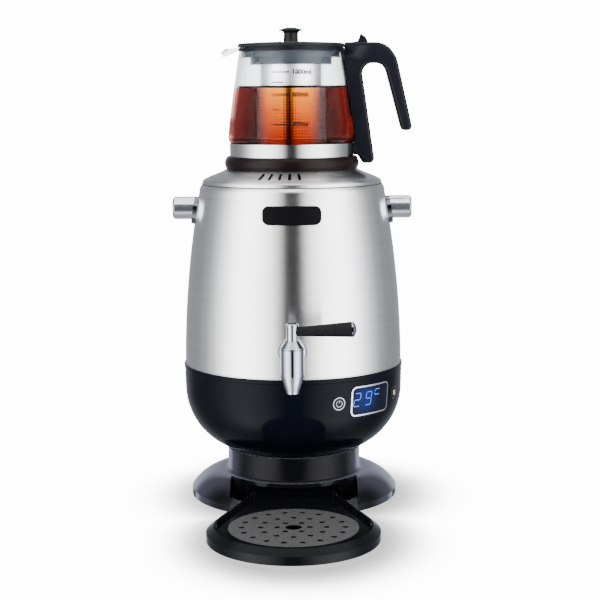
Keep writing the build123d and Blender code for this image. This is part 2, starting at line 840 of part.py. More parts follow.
def shell_outline(inset):
    """The steel shell's outside, closed to the axis, moved inward by inset."""
    def moved(point):
        return (point[0] - inset, point[1])

    with BuildSketch(Plane.XZ) as outline:
        with BuildLine():
            Line((0, housing_lip_z), moved(shell_arc[0]))
            ThreePointArc(*[moved(p) for p in shell_arc])
            top = rim_z - inset
            ThreePointArc(moved(shoulder_low), moved(shoulder_mid), (rim_r - inset, top))
            Polyline((rim_r - inset, top), (0, top), (0, housing_lip_z))
        make_face()
    return outline.sketch


knob_screw_hole = knob_screw_r + screw_gap
with BuildPart() as outer_shell:
    revolve(shell_outline(0))
    revolve(shell_outline(shell_t), mode=Mode.SUBTRACT)
    tube(rim_r - rim_roll, 0, rim_z - 3, rim_z + 1, mode=Mode.SUBTRACT)
    with BuildSketch(Plane.XZ.offset(shell_bottom_r + 4)):
        with Locations((0, tap_z)):
            Circle(shank_r + snug)
    extrude(amount=-10, mode=Mode.SUBTRACT)
    for side in (-1, 1):
        with Locations((side * shell_r(knob_z), 0, knob_z)):
            Cylinder(knob_screw_hole, 12, rotation=(0, 90, 0), mode=Mode.SUBTRACT)
keep(outer_shell, "outer_shell")

tank_low_r = shell_bottom_r - tank_gap
tank_corner_z = tank_bottom_z + tank_corner
tank_mouth_r = rim_r - tank_mouth_in
tank_flange_r = rim_r - tank_flange_in
tank_neck_z = rim_z - tank_neck_down
tank_wall_mid = (tank_low_r - tank_waist_in, tank_waist_z)
tank_wall = [(tank_low_r, tank_corner_z), tank_wall_mid, (tank_mouth_r + tank_t, tank_neck_z)]


def tank_r(height):
    """The tank's outside radius at a height."""
    return arc_radius_at(tank_wall, height)


def tank_outline(inset, top_z):
    """The tank's outside, or its inside, closed to the axis."""
    low = tank_bottom_z + inset
    corner = (tank_low_r - inset, tank_corner_z)
    bottom = (tank_low_r - tank_corner, low)
    corner_in = (1 - sqrt(0.5)) * tank_corner
    corner_mid = (tank_low_r - inset - corner_in, low + corner_in)
    neck = (tank_mouth_r + tank_t - inset, tank_neck_z)
    with BuildSketch(Plane.XZ) as outline:
        with BuildLine():
            Line((0, low), bottom)
            ThreePointArc(bottom, corner_mid, corner)
            ThreePointArc(corner, (tank_wall_mid[0] - inset, tank_wall_mid[1]), neck)
            Polyline(neck, (neck[0], top_z), (0, top_z), (0, low))
        make_face()
    return outline.sketch


tank_top_z = rim_z - shell_t
with BuildPart() as water_tank:
    revolve(tank_outline(0, tank_top_z))
    tube(tank_flange_r, 0, tank_top_z - tank_t, tank_top_z)
    revolve(tank_outline(tank_t, tank_top_z + 2), mode=Mode.SUBTRACT)
    with BuildSketch(Plane.XZ.offset(tank_low_r + 4)):
        with Locations((0, tap_z)):
            Circle(shank_r + snug)
    extrude(amount=-12, mode=Mode.SUBTRACT)
    with BuildSketch(Plane.XY.offset(tank_bottom_z - 1)):
        Circle(sensor_r + snug)
    extrude(amount=tank_t + 2, mode=Mode.SUBTRACT)
keep(water_tank, "water_tank")

heater_low_z = tank_bottom_z - heater_t
element_z = heater_low_z
with BuildPart() as heating_element:
    with BuildSketch(Plane.XZ):
        with Locations((element_circle, element_z)):
            Circle(element_r)
    element_turn = 360 - element_gap_angle
    revolve(axis=Axis.Z, revolution_arc=element_turn)
    for a in (0.0, element_turn):
        with PolarLocations(element_circle, 1, start_angle=a):
            with Locations((0, 0, element_z)):
                Cylinder(element_r * 0.8, element_lead + element_r,
                         align=(Align.CENTER, Align.CENTER, Align.MAX))
keep(heating_element, "heating_element")

with BuildPart() as heater_plate:
    tube(heater_r, 0, heater_low_z, tank_bottom_z)
    with BuildSketch(Plane.XZ):
        with Locations((element_circle, element_z)):
            Circle(element_r + snug)
    revolve(axis=Axis.Z, mode=Mode.SUBTRACT)
    with BuildSketch(Plane.XY.offset(heater_low_z - 1)):
        Circle(sensor_r + snug)
    extrude(amount=heater_t + 2, mode=Mode.SUBTRACT)
keep(heater_plate, "heater_plate")

with BuildPart() as tank_studs:
    for a, x, y in around(4, stud_circle, 45):
        with Locations((x, y, heater_low_z)):
            Cylinder(stud_r + 1.5, heater_low_z - housing_shelf_z - shield_t,
                     align=(Align.CENTER, Align.CENTER, Align.MAX))
        with Locations((x, y, housing_shelf_z + shield_t)):
            Cylinder(stud_r, shield_t + stud_below,
                     align=(Align.CENTER, Align.CENTER, Align.MAX))
keep(tank_studs, "tank_studs")

with BuildPart() as stud_nuts:
    for a, x, y in around(4, stud_circle, 45):
        with BuildSketch(Plane.XY.offset(housing_shelf_z - nut_t)):
            with Locations((x, y)):
                RegularPolygon(nut_across / 2, 6, major_radius=False)
                Circle(stud_r + snug / 2, mode=Mode.SUBTRACT)
        extrude(amount=nut_t)
keep(stud_nuts, "stud_nuts")

with BuildPart() as heat_shield:
    tube(cavity_top_r - slip, 0, housing_shelf_z, housing_shelf_z + shield_t)
    with BuildSketch(Plane.XY.offset(housing_shelf_z - 1)):
        with PolarLocations(stud_circle, 4, start_angle=45):
            Circle(stud_r + screw_gap)
        for a in shield_screw_angles:
            with PolarLocations(shield_screw_circle, 1, start_angle=a):
                Circle(base_screw_r + screw_gap)
        Circle(12)
    extrude(amount=shield_t + 2, mode=Mode.SUBTRACT)
    with BuildSketch(Plane.XY.offset(housing_shelf_z - 1)):
        for a in (0.0, 360 - element_gap_angle):
            with PolarLocations(element_circle, 1, start_angle=a):
                Circle(element_r + 2)
    extrude(amount=shield_t + 2, mode=Mode.SUBTRACT)
keep(heat_shield, "heat_shield")

with BuildPart() as shield_screws:
    for a in shield_screw_angles:
        x, y = shield_screw_circle * cos(radians(a)), shield_screw_circle * sin(radians(a))
        with Locations((x, y, housing_shelf_z + shield_t)):
            Cylinder(base_screw_r, 10, align=(Align.CENTER, Align.CENTER, Align.MAX))
            Cylinder(base_screw_head_r, 1.8, align=on_board)
keep(shield_screws, "shield_screws")

with BuildPart() as thermal_cutouts:
    for a, x, y in around(2, cutout_circle, 90):
        with Locations((x, y, heater_low_z)):
            Cylinder(cutout_r, cutout_t, align=(Align.CENTER, Align.CENTER, Align.MAX))
            Cylinder(cutout_r * 0.6, cutout_t + 3,
                     align=(Align.CENTER, Align.CENTER, Align.MAX))
keep(thermal_cutouts, "thermal_cutouts")

with BuildPart() as temperature_sensor:
    turn([
        (0, heater_low_z - sensor_down),
        (sensor_r, heater_low_z - sensor_down),
        (sensor_r, heater_low_z - 3),
        (2 * sensor_r, heater_low_z - 3),
        (2 * sensor_r, heater_low_z),
        (sensor_r, heater_low_z),
        (sensor_r, tank_bottom_z + sensor_up - 1.5),
        (sensor_r - 1.5, tank_bottom_z + sensor_up),
        (0, tank_bottom_z + sensor_up),
    ])
keep(temperature_sensor, "temperature_sensor")

# ================================================================ carry knobs
knob_wall = shell_r(rosette_z)
wall_lean = atan2(shell_r(rosette_z - 5) - shell_r(rosette_z + 5), 10)


def rosette_plane(side):
    """A plane on the shell at the rosette's centre, looking straight out of the wall."""
    out = (side * cos(wall_lean), 0, sin(wall_lean))
    return Plane(origin=(side * knob_wall, 0, rosette_z), x_dir=(0, 1, 0), z_dir=out)


with BuildPart() as shell_envelope:
    revolve(shell_outline(-snug))

with BuildPart() as handle_rosettes:
    for side in (-1, 1):
        with BuildSketch(rosette_plane(side).offset(-3)):
            Circle(rosette_r)
        extrude(amount=3 + rosette_t, taper=3)
    add(shell_envelope.part, mode=Mode.SUBTRACT)
    for side in (-1, 1):
        with Locations((side * knob_wall, 0, knob_z)):
            Cylinder(knob_screw_hole, 20, rotation=(0, 90, 0), mode=Mode.SUBTRACT)
keep(handle_rosettes, "handle_rosettes")


with BuildPart() as rosette_room:
    for side in (-1, 1):
        with BuildSketch(rosette_plane(side).offset(-20)):
            Circle(rosette_r + 12)
        extrude(amount=20 + rosette_t + snug / 2)


def knob_on(side):
    """One carry knob: a cylinder with a chamfered tip, cut back to its rosette."""
    knob_axis = Plane(origin=(0, 0, knob_z), x_dir=(side, 0, 0), z_dir=(0, -side, 0))
    turn(
        [
            (knob_wall - knob_sink, 0),
            (knob_wall - knob_sink, knob_r),
            (knob_tip_x - knob_chamfer, knob_r),
            (knob_tip_x, knob_r - knob_chamfer),
            (knob_tip_x, 0),
        ],
        plane=knob_axis,
        axis=Axis((0, 0, knob_z), (1, 0, 0)),
    )
    add(rosette_room.part, mode=Mode.SUBTRACT)
    with Locations((side * knob_wall, 0, knob_z)):
        Cylinder(knob_screw_r + snug / 2, 2 * knob_screw_bite, rotation=(0, 90, 0),
                 mode=Mode.SUBTRACT)


with BuildPart() as left_handle_knob:
    knob_on(-1)
keep(left_handle_knob, "left_handle_knob")
with BuildPart() as right_handle_knob:
    knob_on(1)
keep(right_handle_knob, "right_handle_knob")

with BuildPart() as handle_screws:
    head_x = shell_r(knob_z + knob_screw_head_r) - shell_t - snug
    for side in (-1, 1):
        with BuildSketch(Plane.YZ.offset(side * head_x)):
            with Locations((0, knob_z)):
                Circle(knob_screw_head_r)
        extrude(amount=-side * knob_screw_head_t)
        with BuildSketch(Plane.YZ.offset(side * head_x)):
            with Locations((0, knob_z)):
                Circle(knob_screw_r)
        extrude(amount=side * (knob_wall - head_x + knob_screw_bite - 1))
keep(handle_screws, "handle_screws")

# ================================================================ tap
tap_axis = Axis((0, tap_y, 0), (0, 0, 1))
tap_plane = Plane(origin=(0, tap_y, 0), x_dir=(1, 0, 0), z_dir=(0, -1, 0))
shank_plane = Plane(origin=(0, 0, tap_z), x_dir=(0, -1, 0), z_dir=(1, 0, 0))
shank_axis = Axis((0, 0, tap_z), (0, -1, 0))
chamber_r = plug_r + stem_run

with BuildPart() as tap_body:
    with BuildSketch(tap_plane):
        with BuildLine():
            Polyline((0, tap_top_z), (0, outlet_z), (outlet_r, outlet_z),
                     (outlet_r + 0.5, outlet_z + 2))
            ThreePointArc((outlet_r + 0.5, outlet_z + 2), (9.6, 153.6), (tap_r, tap_low_z))
            Polyline((tap_r, tap_low_z), (tap_r, tap_top_z), (0, tap_top_z))
        make_face()
    revolve(axis=tap_axis)
    turn([(shank_in, 0), (-tap_y, 0), (-tap_y, shank_r), (shank_in, shank_r)],
         plane=shank_plane, axis=shank_axis)
    turn([(0, plug_low_z), (chamber_r, plug_low_z), (chamber_r, tap_top_z + 1),
          (0, tap_top_z + 1)], mode=Mode.SUBTRACT, plane=tap_plane, axis=tap_axis)
    turn([(0, outlet_z - 1), (outlet_bore_r, outlet_z - 1), (outlet_bore_r, plug_low_z + 1),
          (0, plug_low_z + 1)], mode=Mode.SUBTRACT, plane=tap_plane, axis=tap_axis)
    turn([(shank_in - 1, 0), (-tap_y, 0), (-tap_y, shank_bore_r), (shank_in - 1, shank_bore_r)],
         mode=Mode.SUBTRACT, plane=shank_plane, axis=shank_axis)
keep(tap_body, "tap_body")

with BuildPart() as tap_escutcheon:
    face_y = shell_r(tap_z)
    with BuildSketch(shank_plane):
        with BuildLine():
            Polyline((face_y - 3, shank_r + snug), (face_y + escutcheon_t, shank_r + snug),
                     (face_y + escutcheon_t, shank_r + 1.6))
            ThreePointArc((face_y + escutcheon_t, shank_r + 1.6),
                          (face_y + 0.72 * escutcheon_t, 12.6),
                          (face_y + 1.2, escutcheon_r))
            Polyline((face_y + 1.2, escutcheon_r), (face_y - 3, escutcheon_r),
                     (face_y - 3, shank_r + snug))
        make_face()
    revolve(axis=shank_axis)
    add(shell_envelope.part, mode=Mode.SUBTRACT)
keep(tap_escutcheon, "tap_escutcheon")

tank_face_y = tank_r(tap_z)
with BuildPart() as tap_spacer:
    sleeve_out = shank_r + 3
    sleeve_end = shell_r(tap_z) - shell_t - 1.0
    turn([(tank_face_y + slip, shank_r + snug), (sleeve_end, shank_r + snug),
          (sleeve_end, sleeve_out), (tank_face_y + slip, sleeve_out)],
         plane=shank_plane, axis=shank_axis)
keep(tap_spacer, "tap_spacer")

seal_y = tank_face_y - tank_t - 1.2
with BuildPart() as tap_seal:
    turn([(seal_y - seal_t, shank_r + snug), (seal_y, shank_r + snug),
          (seal_y, shank_r + 3), (seal_y - seal_t, shank_r + 3)],
         plane=shank_plane, axis=shank_axis)
keep(tap_seal, "tap_seal")

with BuildPart() as tap_nut:
    with BuildSketch(Plane.XZ.offset(seal_y - seal_t)):
        with Locations((0, tap_z)):
            RegularPolygon(tap_nut_across / 2, 6, major_radius=False)
            Circle(shank_r + snug / 2, mode=Mode.SUBTRACT)
    extrude(amount=-tap_nut_t)
keep(tap_nut, "tap_nut")

with BuildPart() as tap_bonnet:
    bonnet_bore = stem_r + stem_run
    turn([(bonnet_bore, tap_top_z), (tap_r, tap_top_z), (tap_r, tap_top_z + 1.2),
          (bonnet_bore + 1.2, bonnet_cone_z), (bonnet_bore, bonnet_cone_z)],
         plane=tap_plane, axis=tap_axis)
keep(tap_bonnet, "tap_bonnet")

lever_dir = (cos(radians(lever_rise)), 0, sin(radians(lever_rise)))
lever_plane = Plane(origin=(0, tap_y, lever_z), x_dir=lever_dir, z_dir=(0, -1, 0))
lever_axis = Axis((0, tap_y, lever_z), lever_dir)
o_ring_depth = 0.9
o_ring_places = [plug_low_z + 3.0, plug_top_z - 4.6]
o_ring_h = 1.6

with BuildPart() as tap_plug:
    turn([(0, plug_low_z + snug), (plug_r, plug_low_z + snug), (plug_r, plug_top_z),
          (stem_r, plug_top_z), (stem_r, stem_top_z), (0, stem_top_z)],
         plane=tap_plane, axis=tap_axis)
    # water comes in from the side and leaves downward
    turn([(0, plug_low_z - 1), (port_r, plug_low_z - 1), (port_r, tap_z + port_r),
          (0, tap_z + port_r)], mode=Mode.SUBTRACT, plane=tap_plane, axis=tap_axis)
    with BuildSketch(Plane.YZ):
        with Locations((tap_y, tap_z)):
            Circle(port_r - port_step)
    extrude(amount=-plug_r - 2, mode=Mode.SUBTRACT)
    for z in o_ring_places:
        turn([(plug_r - o_ring_depth, z), (plug_r + 1, z), (plug_r + 1, z + o_ring_h),
              (plug_r - o_ring_depth, z + o_ring_h)],
             mode=Mode.SUBTRACT, plane=tap_plane, axis=tap_axis)
    # sockets for the lever and the cap
    turn([(0, 0), (0, lever_spigot_r + snug / 2), (stem_r + 2, lever_spigot_r + snug / 2),
          (stem_r + 2, 0)], mode=Mode.SUBTRACT, plane=lever_plane, axis=lever_axis)
    turn([(0, stem_top_z - 1.2), (2.0, stem_top_z - 1.2), (2.0, stem_top_z + 1),
          (0, stem_top_z + 1)], mode=Mode.SUBTRACT, plane=tap_plane, axis=tap_axis)
keep(tap_plug, "tap_plug")

with BuildPart() as plug_o_rings:
    for z in o_ring_places:
        turn([(plug_r - o_ring_depth, z), (plug_r, z), (plug_r, z + o_ring_h),
              (plug_r - o_ring_depth, z + o_ring_h)], plane=tap_plane, axis=tap_axis)
keep(plug_o_rings, "plug_o_rings")

with BuildPart() as tap_cap:
    turn([(0, stem_top_z), (cap_r, stem_top_z), (cap_r, stem_top_z + cap_h - 0.9),
          (cap_r - 1.4, stem_top_z + cap_h), (0, stem_top_z + cap_h)],
         plane=tap_plane, axis=tap_axis)
    turn([(0, stem_top_z - 1.0), (1.95, stem_top_z - 1.0), (1.95, stem_top_z + 0.5),
          (0, stem_top_z + 0.5)], plane=tap_plane, axis=tap_axis)
keep(tap_cap, "tap_cap")

with BuildPart() as tap_lever:
    turn([(0, 0), (0, lever_root_r), (stem_r + 3, lever_root_r), (lever_end_x, lever_end_r),
          (lever_end_x, 0)], plane=lever_plane, axis=lever_axis)
    turn([(0, lever_z - 12), (stem_r + snug / 2, lever_z - 12), (stem_r + snug / 2, lever_z + 12),
          (0, lever_z + 12)], mode=Mode.SUBTRACT, plane=tap_plane, axis=tap_axis)
    turn([(stem_r - lever_spigot_len, 0), (stem_r - lever_spigot_len, lever_spigot_r),
          (stem_r + 1.5, lever_spigot_r), (stem_r + 1.5, 0)],
         plane=lever_plane, axis=lever_axis)
keep(tap_lever, "tap_lever")

with BuildPart() as lever_tip:
    with BuildSketch(lever_plane):
        with BuildLine():
            Polyline((lever_end_x, 0), (lever_end_x, lever_end_r),
                     (lever_end_x + 1.6, lever_end_r))
            mid_r, mid_h = dome_point(lever_end_r, lever_tip_len - 1.6)
            ThreePointArc((lever_end_x + 1.6, lever_end_r), (lever_end_x + 1.6 + mid_h, mid_r),
                          (lever_end_x + lever_tip_len, 0))
            Line((lever_end_x + lever_tip_len, 0), (lever_end_x, 0))
        make_face()
    revolve(axis=lever_axis)
keep(lever_tip, "lever_tip")

# ================================================================ tank cover
with BuildPart() as tank_cover:
    under = [(r - 0.35 * cover_t, z - cover_t) for r, z in cover_points]
    turn([
        (cover_hole_r, cover_seat_z),
        (cover_hole_r, cover_seat_z - cover_t),
        (cover_seat_r - 0.3, cover_seat_z - cover_t),
        *reversed(under),
        (cover_edge_top_r - 1.6 * cover_t, cover_edge_z - 0.9 * cover_t),
        (cover_edge_r - cover_t, rim_z),
        (cover_edge_r, rim_z),
        (cover_edge_top_r, cover_edge_z - 0.8),
        (cover_edge_top_r - 0.9, cover_edge_z + 0.2),
        *cover_points,
        (cover_seat_r, cover_seat_z),
    ])
    slot_mid = (slot_in_r + slot_out_r) / 2
    with BuildSketch(Plane.XY.offset(rim_z + 4)):
        for k in range(slot_count):
            a = -90 + slot_first + k * slot_pitch
            with PolarLocations(slot_mid, 1, start_angle=a):
                SlotOverall(slot_out_r - slot_in_r, slot_w)
    extrude(amount=20, mode=Mode.SUBTRACT)
keep(tank_cover, "tank_cover")

with BuildPart() as cover_liner:
    liner_top = rim_z + liner_t
    inner_r = cover_hole_r
    turn([
        (inner_r, cover_seat_z - cover_t),
        (inner_r, rim_z),
        (liner_skirt_r - liner_skirt_t, rim_z),
        (liner_skirt_r - liner_skirt_t, liner_skirt_z),
        (liner_skirt_r, liner_skirt_z),
        (liner_skirt_r, gasket_z),
        (liner_skirt_r - gasket_groove, gasket_z),
        (liner_skirt_r - gasket_groove, gasket_z + gasket_t),
        (liner_skirt_r, gasket_z + gasket_t),
        (liner_skirt_r, rim_z),
        (liner_r, rim_z),
        (liner_r, liner_top),
        (inner_r + liner_inner_t, liner_top),
        (inner_r + liner_inner_t, cover_seat_z - cover_t),
    ])
    window_mid = (liner_window_in + liner_window_out) / 2
    with BuildSketch(Plane.XY.offset(rim_z - 1)):
        for k in range(liner_windows):
            a = 360 / liner_windows * k
            SlotArc(CenterArc((0, 0), window_mid, a - 20, 40),
                    liner_window_out - liner_window_in - 4)
    extrude(amount=liner_t + 2, mode=Mode.SUBTRACT)
keep(cover_liner, "cover_liner")

with BuildPart() as cover_gasket:
    turn([
        (liner_skirt_r - gasket_groove, gasket_z),
        (liner_skirt_r + gasket_bulge - 0.3, gasket_z),
        (liner_skirt_r + gasket_bulge, gasket_z + gasket_t / 2),
        (liner_skirt_r + gasket_bulge - 0.3, gasket_z + gasket_t),
        (liner_skirt_r - gasket_groove, gasket_z + gasket_t),
    ])
keep(cover_gasket, "cover_gasket")

with BuildPart() as pot_seat_ring:
    with BuildSketch(Plane.XZ):
        with BuildLine():
            Line((cover_hole_r + 2, cover_seat_z), (seat_low_r, cover_seat_z))
            ThreePointArc((seat_low_r, cover_seat_z), (seat_bulge_r, seat_bulge_z),
                          (seat_top_r, seat_top_z))
            Polyline((seat_top_r, seat_top_z), (seat_shelf_r + 0.4, seat_top_z),
                     (seat_shelf_r, seat_shelf_z), (seat_in_r, seat_shelf_z),
                     (seat_in_r, seat_shelf_z - 3), (cover_hole_r + 2, seat_shelf_z - 4.6),
                     (cover_hole_r + 2, cover_seat_z))
        make_face()
    revolve(axis=Axis.Z)
keep(pot_seat_ring, "pot_seat_ring")


# ================================================================ tea pot
pot_base_z = seat_shelf_z + band_foot_t
glass_low_z = pot_base_z + slip
band_in_r = band_r - band_t
glass_inside_band_r = band_in_r - slip


def glass_outline(inset):
    """The pot's glass outside, or its inside, closed to the axis."""
    low = glass_low_z + inset
    side = glass_inside_band_r - inset
    corner = glass_corner
    top = glass_rim_z + (1 if inset else 0)
    lean = (glass_line_low[0] - glass_rim_r) / (glass_rim_z - glass_line_low[1])
    top_r = glass_rim_r - inset - lean * (top - glass_rim_z)
    with BuildSketch(Plane.XZ) as outline:
        with BuildLine():
            Line((0, low), (side - corner, low))
            ThreePointArc((side - corner, low), (side - (1 - sqrt(0.5)) * corner, low + (1 - sqrt(0.5)) * corner),
                          (side, low + corner))
            Line((side, low + corner), (side, band_top_z + slip))
            ThreePointArc((side, band_top_z + slip),
                          (glass_shoulder[0] - inset, glass_shoulder[1]),
                          (glass_belly[0] - inset, glass_belly[1]))
            ThreePointArc((glass_belly[0] - inset, glass_belly[1]),
                          (glass_flank[0] - inset, glass_flank[1]),
                          (glass_line_low[0] - inset, glass_line_low[1]))
            Polyline((glass_line_low[0] - inset, glass_line_low[1]), (top_r, top),
                     (0, top), (0, low))
        make_face()
    return outline.sketch


spout_dir = Vector(spout_tip_x - spout_root_x, 0, spout_tip_z - glass_rim_z).normalized()
spout_len = sqrt((spout_tip_x - spout_root_x) ** 2 + (spout_tip_z - glass_rim_z) ** 2)
spout_plane = Plane(origin=(spout_root_x, 0, glass_rim_z), x_dir=tuple(spout_dir),
                    z_dir=(0, -1, 0))
spout_axis = Axis((spout_root_x, 0, glass_rim_z), tuple(spout_dir))


def spout_cone(inset, mode=Mode.ADD):
    """The pouring lip's cone, or its inside."""
    extra = 4 if inset else 0
    turn([(-extra, 0), (-extra, spout_root_r - inset), (spout_len + extra, spout_tip_r - inset),
          (spout_len + extra, 0)], mode=mode, plane=spout_plane, axis=spout_axis)


with BuildPart() as spout_block:
    spout_cone(0)
    # open above the line from the rim to the tip
    with BuildSketch(spout_plane):
        with Locations((spout_len / 2, 20)):
            Rectangle(3 * spout_len, 40)
    extrude(amount=60, both=True, mode=Mode.SUBTRACT)

with BuildPart() as spout_hollow:
    spout_cone(glass_t)

with BuildPart() as pot_glass:
    revolve(glass_outline(0))
    add(spout_block.part)
    revolve(glass_outline(glass_t), mode=Mode.SUBTRACT)
    add(spout_hollow.part, mode=Mode.SUBTRACT)
    tube(200, 0, glass_rim_z, glass_rim_z + 40, mode=Mode.SUBTRACT)
keep(pot_glass, "pot_glass")

with BuildPart() as pot_band:
    turn([
        (band_foot_in, seat_shelf_z),
        (band_r - 0.6, seat_shelf_z),
        (band_r, seat_shelf_z + 0.6),
        (band_r, band_top_z),
        (band_in_r, band_top_z),
        (band_in_r, pot_base_z),
        (band_foot_in, pot_base_z),
    ])
keep(pot_band, "pot_band")

rim_collar_in = glass_rim_r + 0.9
with BuildPart() as rim_collar:
    tube(rim_collar_in + rim_collar_t, rim_collar_in, glass_rim_z - 3.6, glass_rim_z - 0.2)
    with Locations((-glass_rim_r, 0, glass_rim_z)):
        Box(30, 2 * spout_root_r + 2, 20, mode=Mode.SUBTRACT)
keep(rim_collar, "rim_collar")

collar_out = rim_collar_in + rim_collar_t
handle_in = collar_out + snug
handle_low_in = band_r + slip
handle_sink = 1.6        # the blank starts this far inside the pot before it is cut back
handle_points = {
    # point: (x, z, rounding of the corner)
    "top_in": (handle_in - handle_sink, handle_top_z, 0.8),
    "top_out": (handle_in + 42.1, handle_top_z, 22.0),
    "shoulder": (handle_in + 54.0, handle_top_z - 14.9, 30.0),
    "tip_out": (handle_in + 71.6, band_top_z + 12.6, 5.0),
    "tip_in": (handle_in + 59.4, band_top_z + 12.6, 5.0),
    "arch_out": (handle_in + 40.6, handle_top_z - 21.8, 11.0),
    "arch_in": (handle_in + 16.2, handle_top_z - 21.8, 11.0),
    "heel_out": (band_r + 22.6, seat_shelf_z - 6.6, 5.2),
    "heel_in": (band_r + 10.0, seat_shelf_z - 6.6, 3.0),
    "seat_side": (band_r + 4.0, seat_shelf_z + 2.2, 1.0),
    "seat_low": (handle_low_in - handle_sink, seat_shelf_z + 2.8, 0.4),
    "seat_top": (handle_low_in - handle_sink, band_top_z + 1.0, 1.0),
    "belly": (glass_belly[0] - handle_sink, glass_belly[1] + 1.0, 4.0),
    "flank": (glass_line_low[0] - handle_sink, glass_line_low[1], 8.0),
    "neck_in": (glass_rim_r - handle_sink, glass_rim_z - 13.6, 2.0),
}

with BuildPart() as pot_room:
    # the pot's outside with the handle's clearance
    revolve(glass_outline(-slip))
    tube(handle_low_in, 0, seat_shelf_z, band_top_z + slip)
    tube(handle_in, 0, glass_rim_z - 3.6 - snug, handle_top_z + 1)

catch_slot_half = catch_w / 2 + slip
catch_slot = (handle_in - 5, catch_pivot[0] + 14.5)

with BuildPart() as pot_handle:
    with BuildSketch(Plane.XZ) as side:
        with BuildLine():
            Polyline(*[(x, z) for x, z, _ in handle_points.values()], close=True)
        make_face()
        for x, z, rounding in handle_points.values():
            corner = side.vertices().sort_by_distance((x, z, 0))[0]
            fillet(corner, rounding)
    extrude(amount=handle_w / 2, both=True)
    flanks = pot_handle.faces().filter_by(Plane.XZ)
    outline_edges = [e for e in flanks.edges() if e.center().X > handle_in + 2.0]
    outline_edges = [e for e in outline_edges if e.center().X > band_r + 5 or
                     e.center().Z > handle_top_z - 2.4]
    fillet(outline_edges, radius=handle_fillet)
    add(pot_room.part, mode=Mode.SUBTRACT)
    # slot for the thumb catch and its pin
    box_between(catch_slot, (-catch_slot_half, catch_slot_half),
                (catch_slot_low_z, handle_top_z + 2), mode=Mode.SUBTRACT)
    with Locations((catch_pivot[0], 0, catch_pivot[1])):
        Cylinder(catch_pin_r + snug / 2, catch_pin_len + 2 * snug, rotation=(90, 0, 0),
                 mode=Mode.SUBTRACT)
    # bolt hole at the heel
    with Locations((handle_low_in - 1, 0, handle_bolt_z)):
        Cylinder(handle_bolt_r + snug, 40, rotation=(0, 90, 0), mode=Mode.SUBTRACT,
                 align=(Align.CENTER, Align.CENTER, Align.MIN))
    with Locations((handle_bolt_seat, 0, handle_bolt_z)):
        Cylinder(handle_bolt_head_r + slip, 20, rotation=(0, 90, 0), mode=Mode.SUBTRACT,
                 align=(Align.CENTER, Align.CENTER, Align.MIN))
keep(pot_handle, "pot_handle")

with BuildPart() as handle_bolt:
    with Locations((band_r + snug / 2, 0, handle_bolt_z)):
        Cylinder(handle_bolt_r, handle_bolt_seat - band_r, rotation=(0, 90, 0),
                 align=(Align.CENTER, Align.CENTER, Align.MIN))
    with Locations((handle_bolt_seat + snug / 2, 0, handle_bolt_z)):
        Cylinder(handle_bolt_head_r, handle_bolt_head_t, rotation=(0, 90, 0),
                 align=(Align.CENTER, Align.CENTER, Align.MIN))
keep(handle_bolt, "handle_bolt")

with BuildPart() as lid_catch:
    with BuildSketch(Plane.XZ) as side:
        with BuildLine():
            Polyline(
                (lid_r + catch_gap, catch_pivot[1] + 2.4),
                *[(catch_pivot[0] + x, catch_pivot[1] + z) for x, z in catch_tab],
                (lid_r + catch_gap, catch_pivot[1] - 0.8),
                close=True,
            )
        make_face()
    extrude(amount=catch_w / 2, both=True)
    with Locations((catch_pivot[0], 0, catch_pivot[1])):
        Cylinder(catch_pin_r + snug / 2, catch_w + 2, rotation=(90, 0, 0), mode=Mode.SUBTRACT)
keep(lid_catch, "lid_catch")

with BuildPart() as catch_pin:
    with Locations((catch_pivot[0], 0, catch_pivot[1])):
        Cylinder(catch_pin_r, catch_pin_len, rotation=(90, 0, 0))
keep(catch_pin, "catch_pin")


# ================================================================ pot lid
with BuildPart() as pot_lid:
    with BuildSketch(Plane.XZ):
        with BuildLine():
            Polyline((0, lid_low_z), (lid_r - 0.8, lid_low_z), (lid_r, lid_low_z + 0.8),
                     (lid_r, lid_edge_z - 0.6), (lid_r - 1.2, lid_edge_z + 0.3))
            mid_r, mid_h = dome_point(lid_r - 1.2, lid_top_z - lid_edge_z - 0.3)
            ThreePointArc((lid_r - 1.2, lid_edge_z + 0.3), (mid_r, lid_edge_z + 0.3 + mid_h),
                          (0, lid_top_z))
            Line((0, lid_top_z), (0, lid_low_z))
        make_face()
    revolve(axis=Axis.Z)
    with BuildSketch(Plane.XY.offset(lid_low_z - 1)):
        Circle(lid_screw_r + screw_gap)
    extrude(amount=20, mode=Mode.SUBTRACT)
    tube(knob_stem_r + snug / 2, 0, knob_seat_z, lid_top_z + 5, mode=Mode.SUBTRACT)
keep(pot_lid, "pot_lid")

with BuildPart() as lid_knob:
    with BuildSketch(Plane.XZ):
        with BuildLine():
            Polyline((0, knob_seat_z), (knob_stem_r, knob_seat_z),
                     (knob_stem_r - 0.3, knob_head_z - 1.2))
            ThreePointArc((knob_stem_r - 0.3, knob_head_z - 1.2),
                          (knob_stem_r + 0.9, knob_head_z + 0.1),
                          (knob_head_r - 0.4, knob_head_z + 1.2))
            Line((knob_head_r - 0.4, knob_head_z + 1.2), (knob_head_r, knob_head_z + 2.2))
            knob_rise = knob_top_z - knob_head_z - 2.2
            mid_r, mid_h = dome_point(knob_head_r, knob_rise)
            ThreePointArc((knob_head_r, knob_head_z + 2.2), (mid_r, knob_head_z + 2.2 + mid_h),
                          (0, knob_top_z))
            Line((0, knob_top_z), (0, knob_seat_z))
        make_face()
    revolve(axis=Axis.Z)
    tube(lid_screw_r + snug / 2, 0, knob_seat_z - 1, lid_low_z + lid_screw_len + 0.5,
         mode=Mode.SUBTRACT)
keep(lid_knob, "lid_knob")

with BuildPart() as knob_screw:
    screw(0, 0, lid_low_z, lid_screw_r, lid_screw_len, lid_screw_head_r, 2.2)
keep(knob_screw, "knob_screw")

lug_r = collar_in_r + lug_out

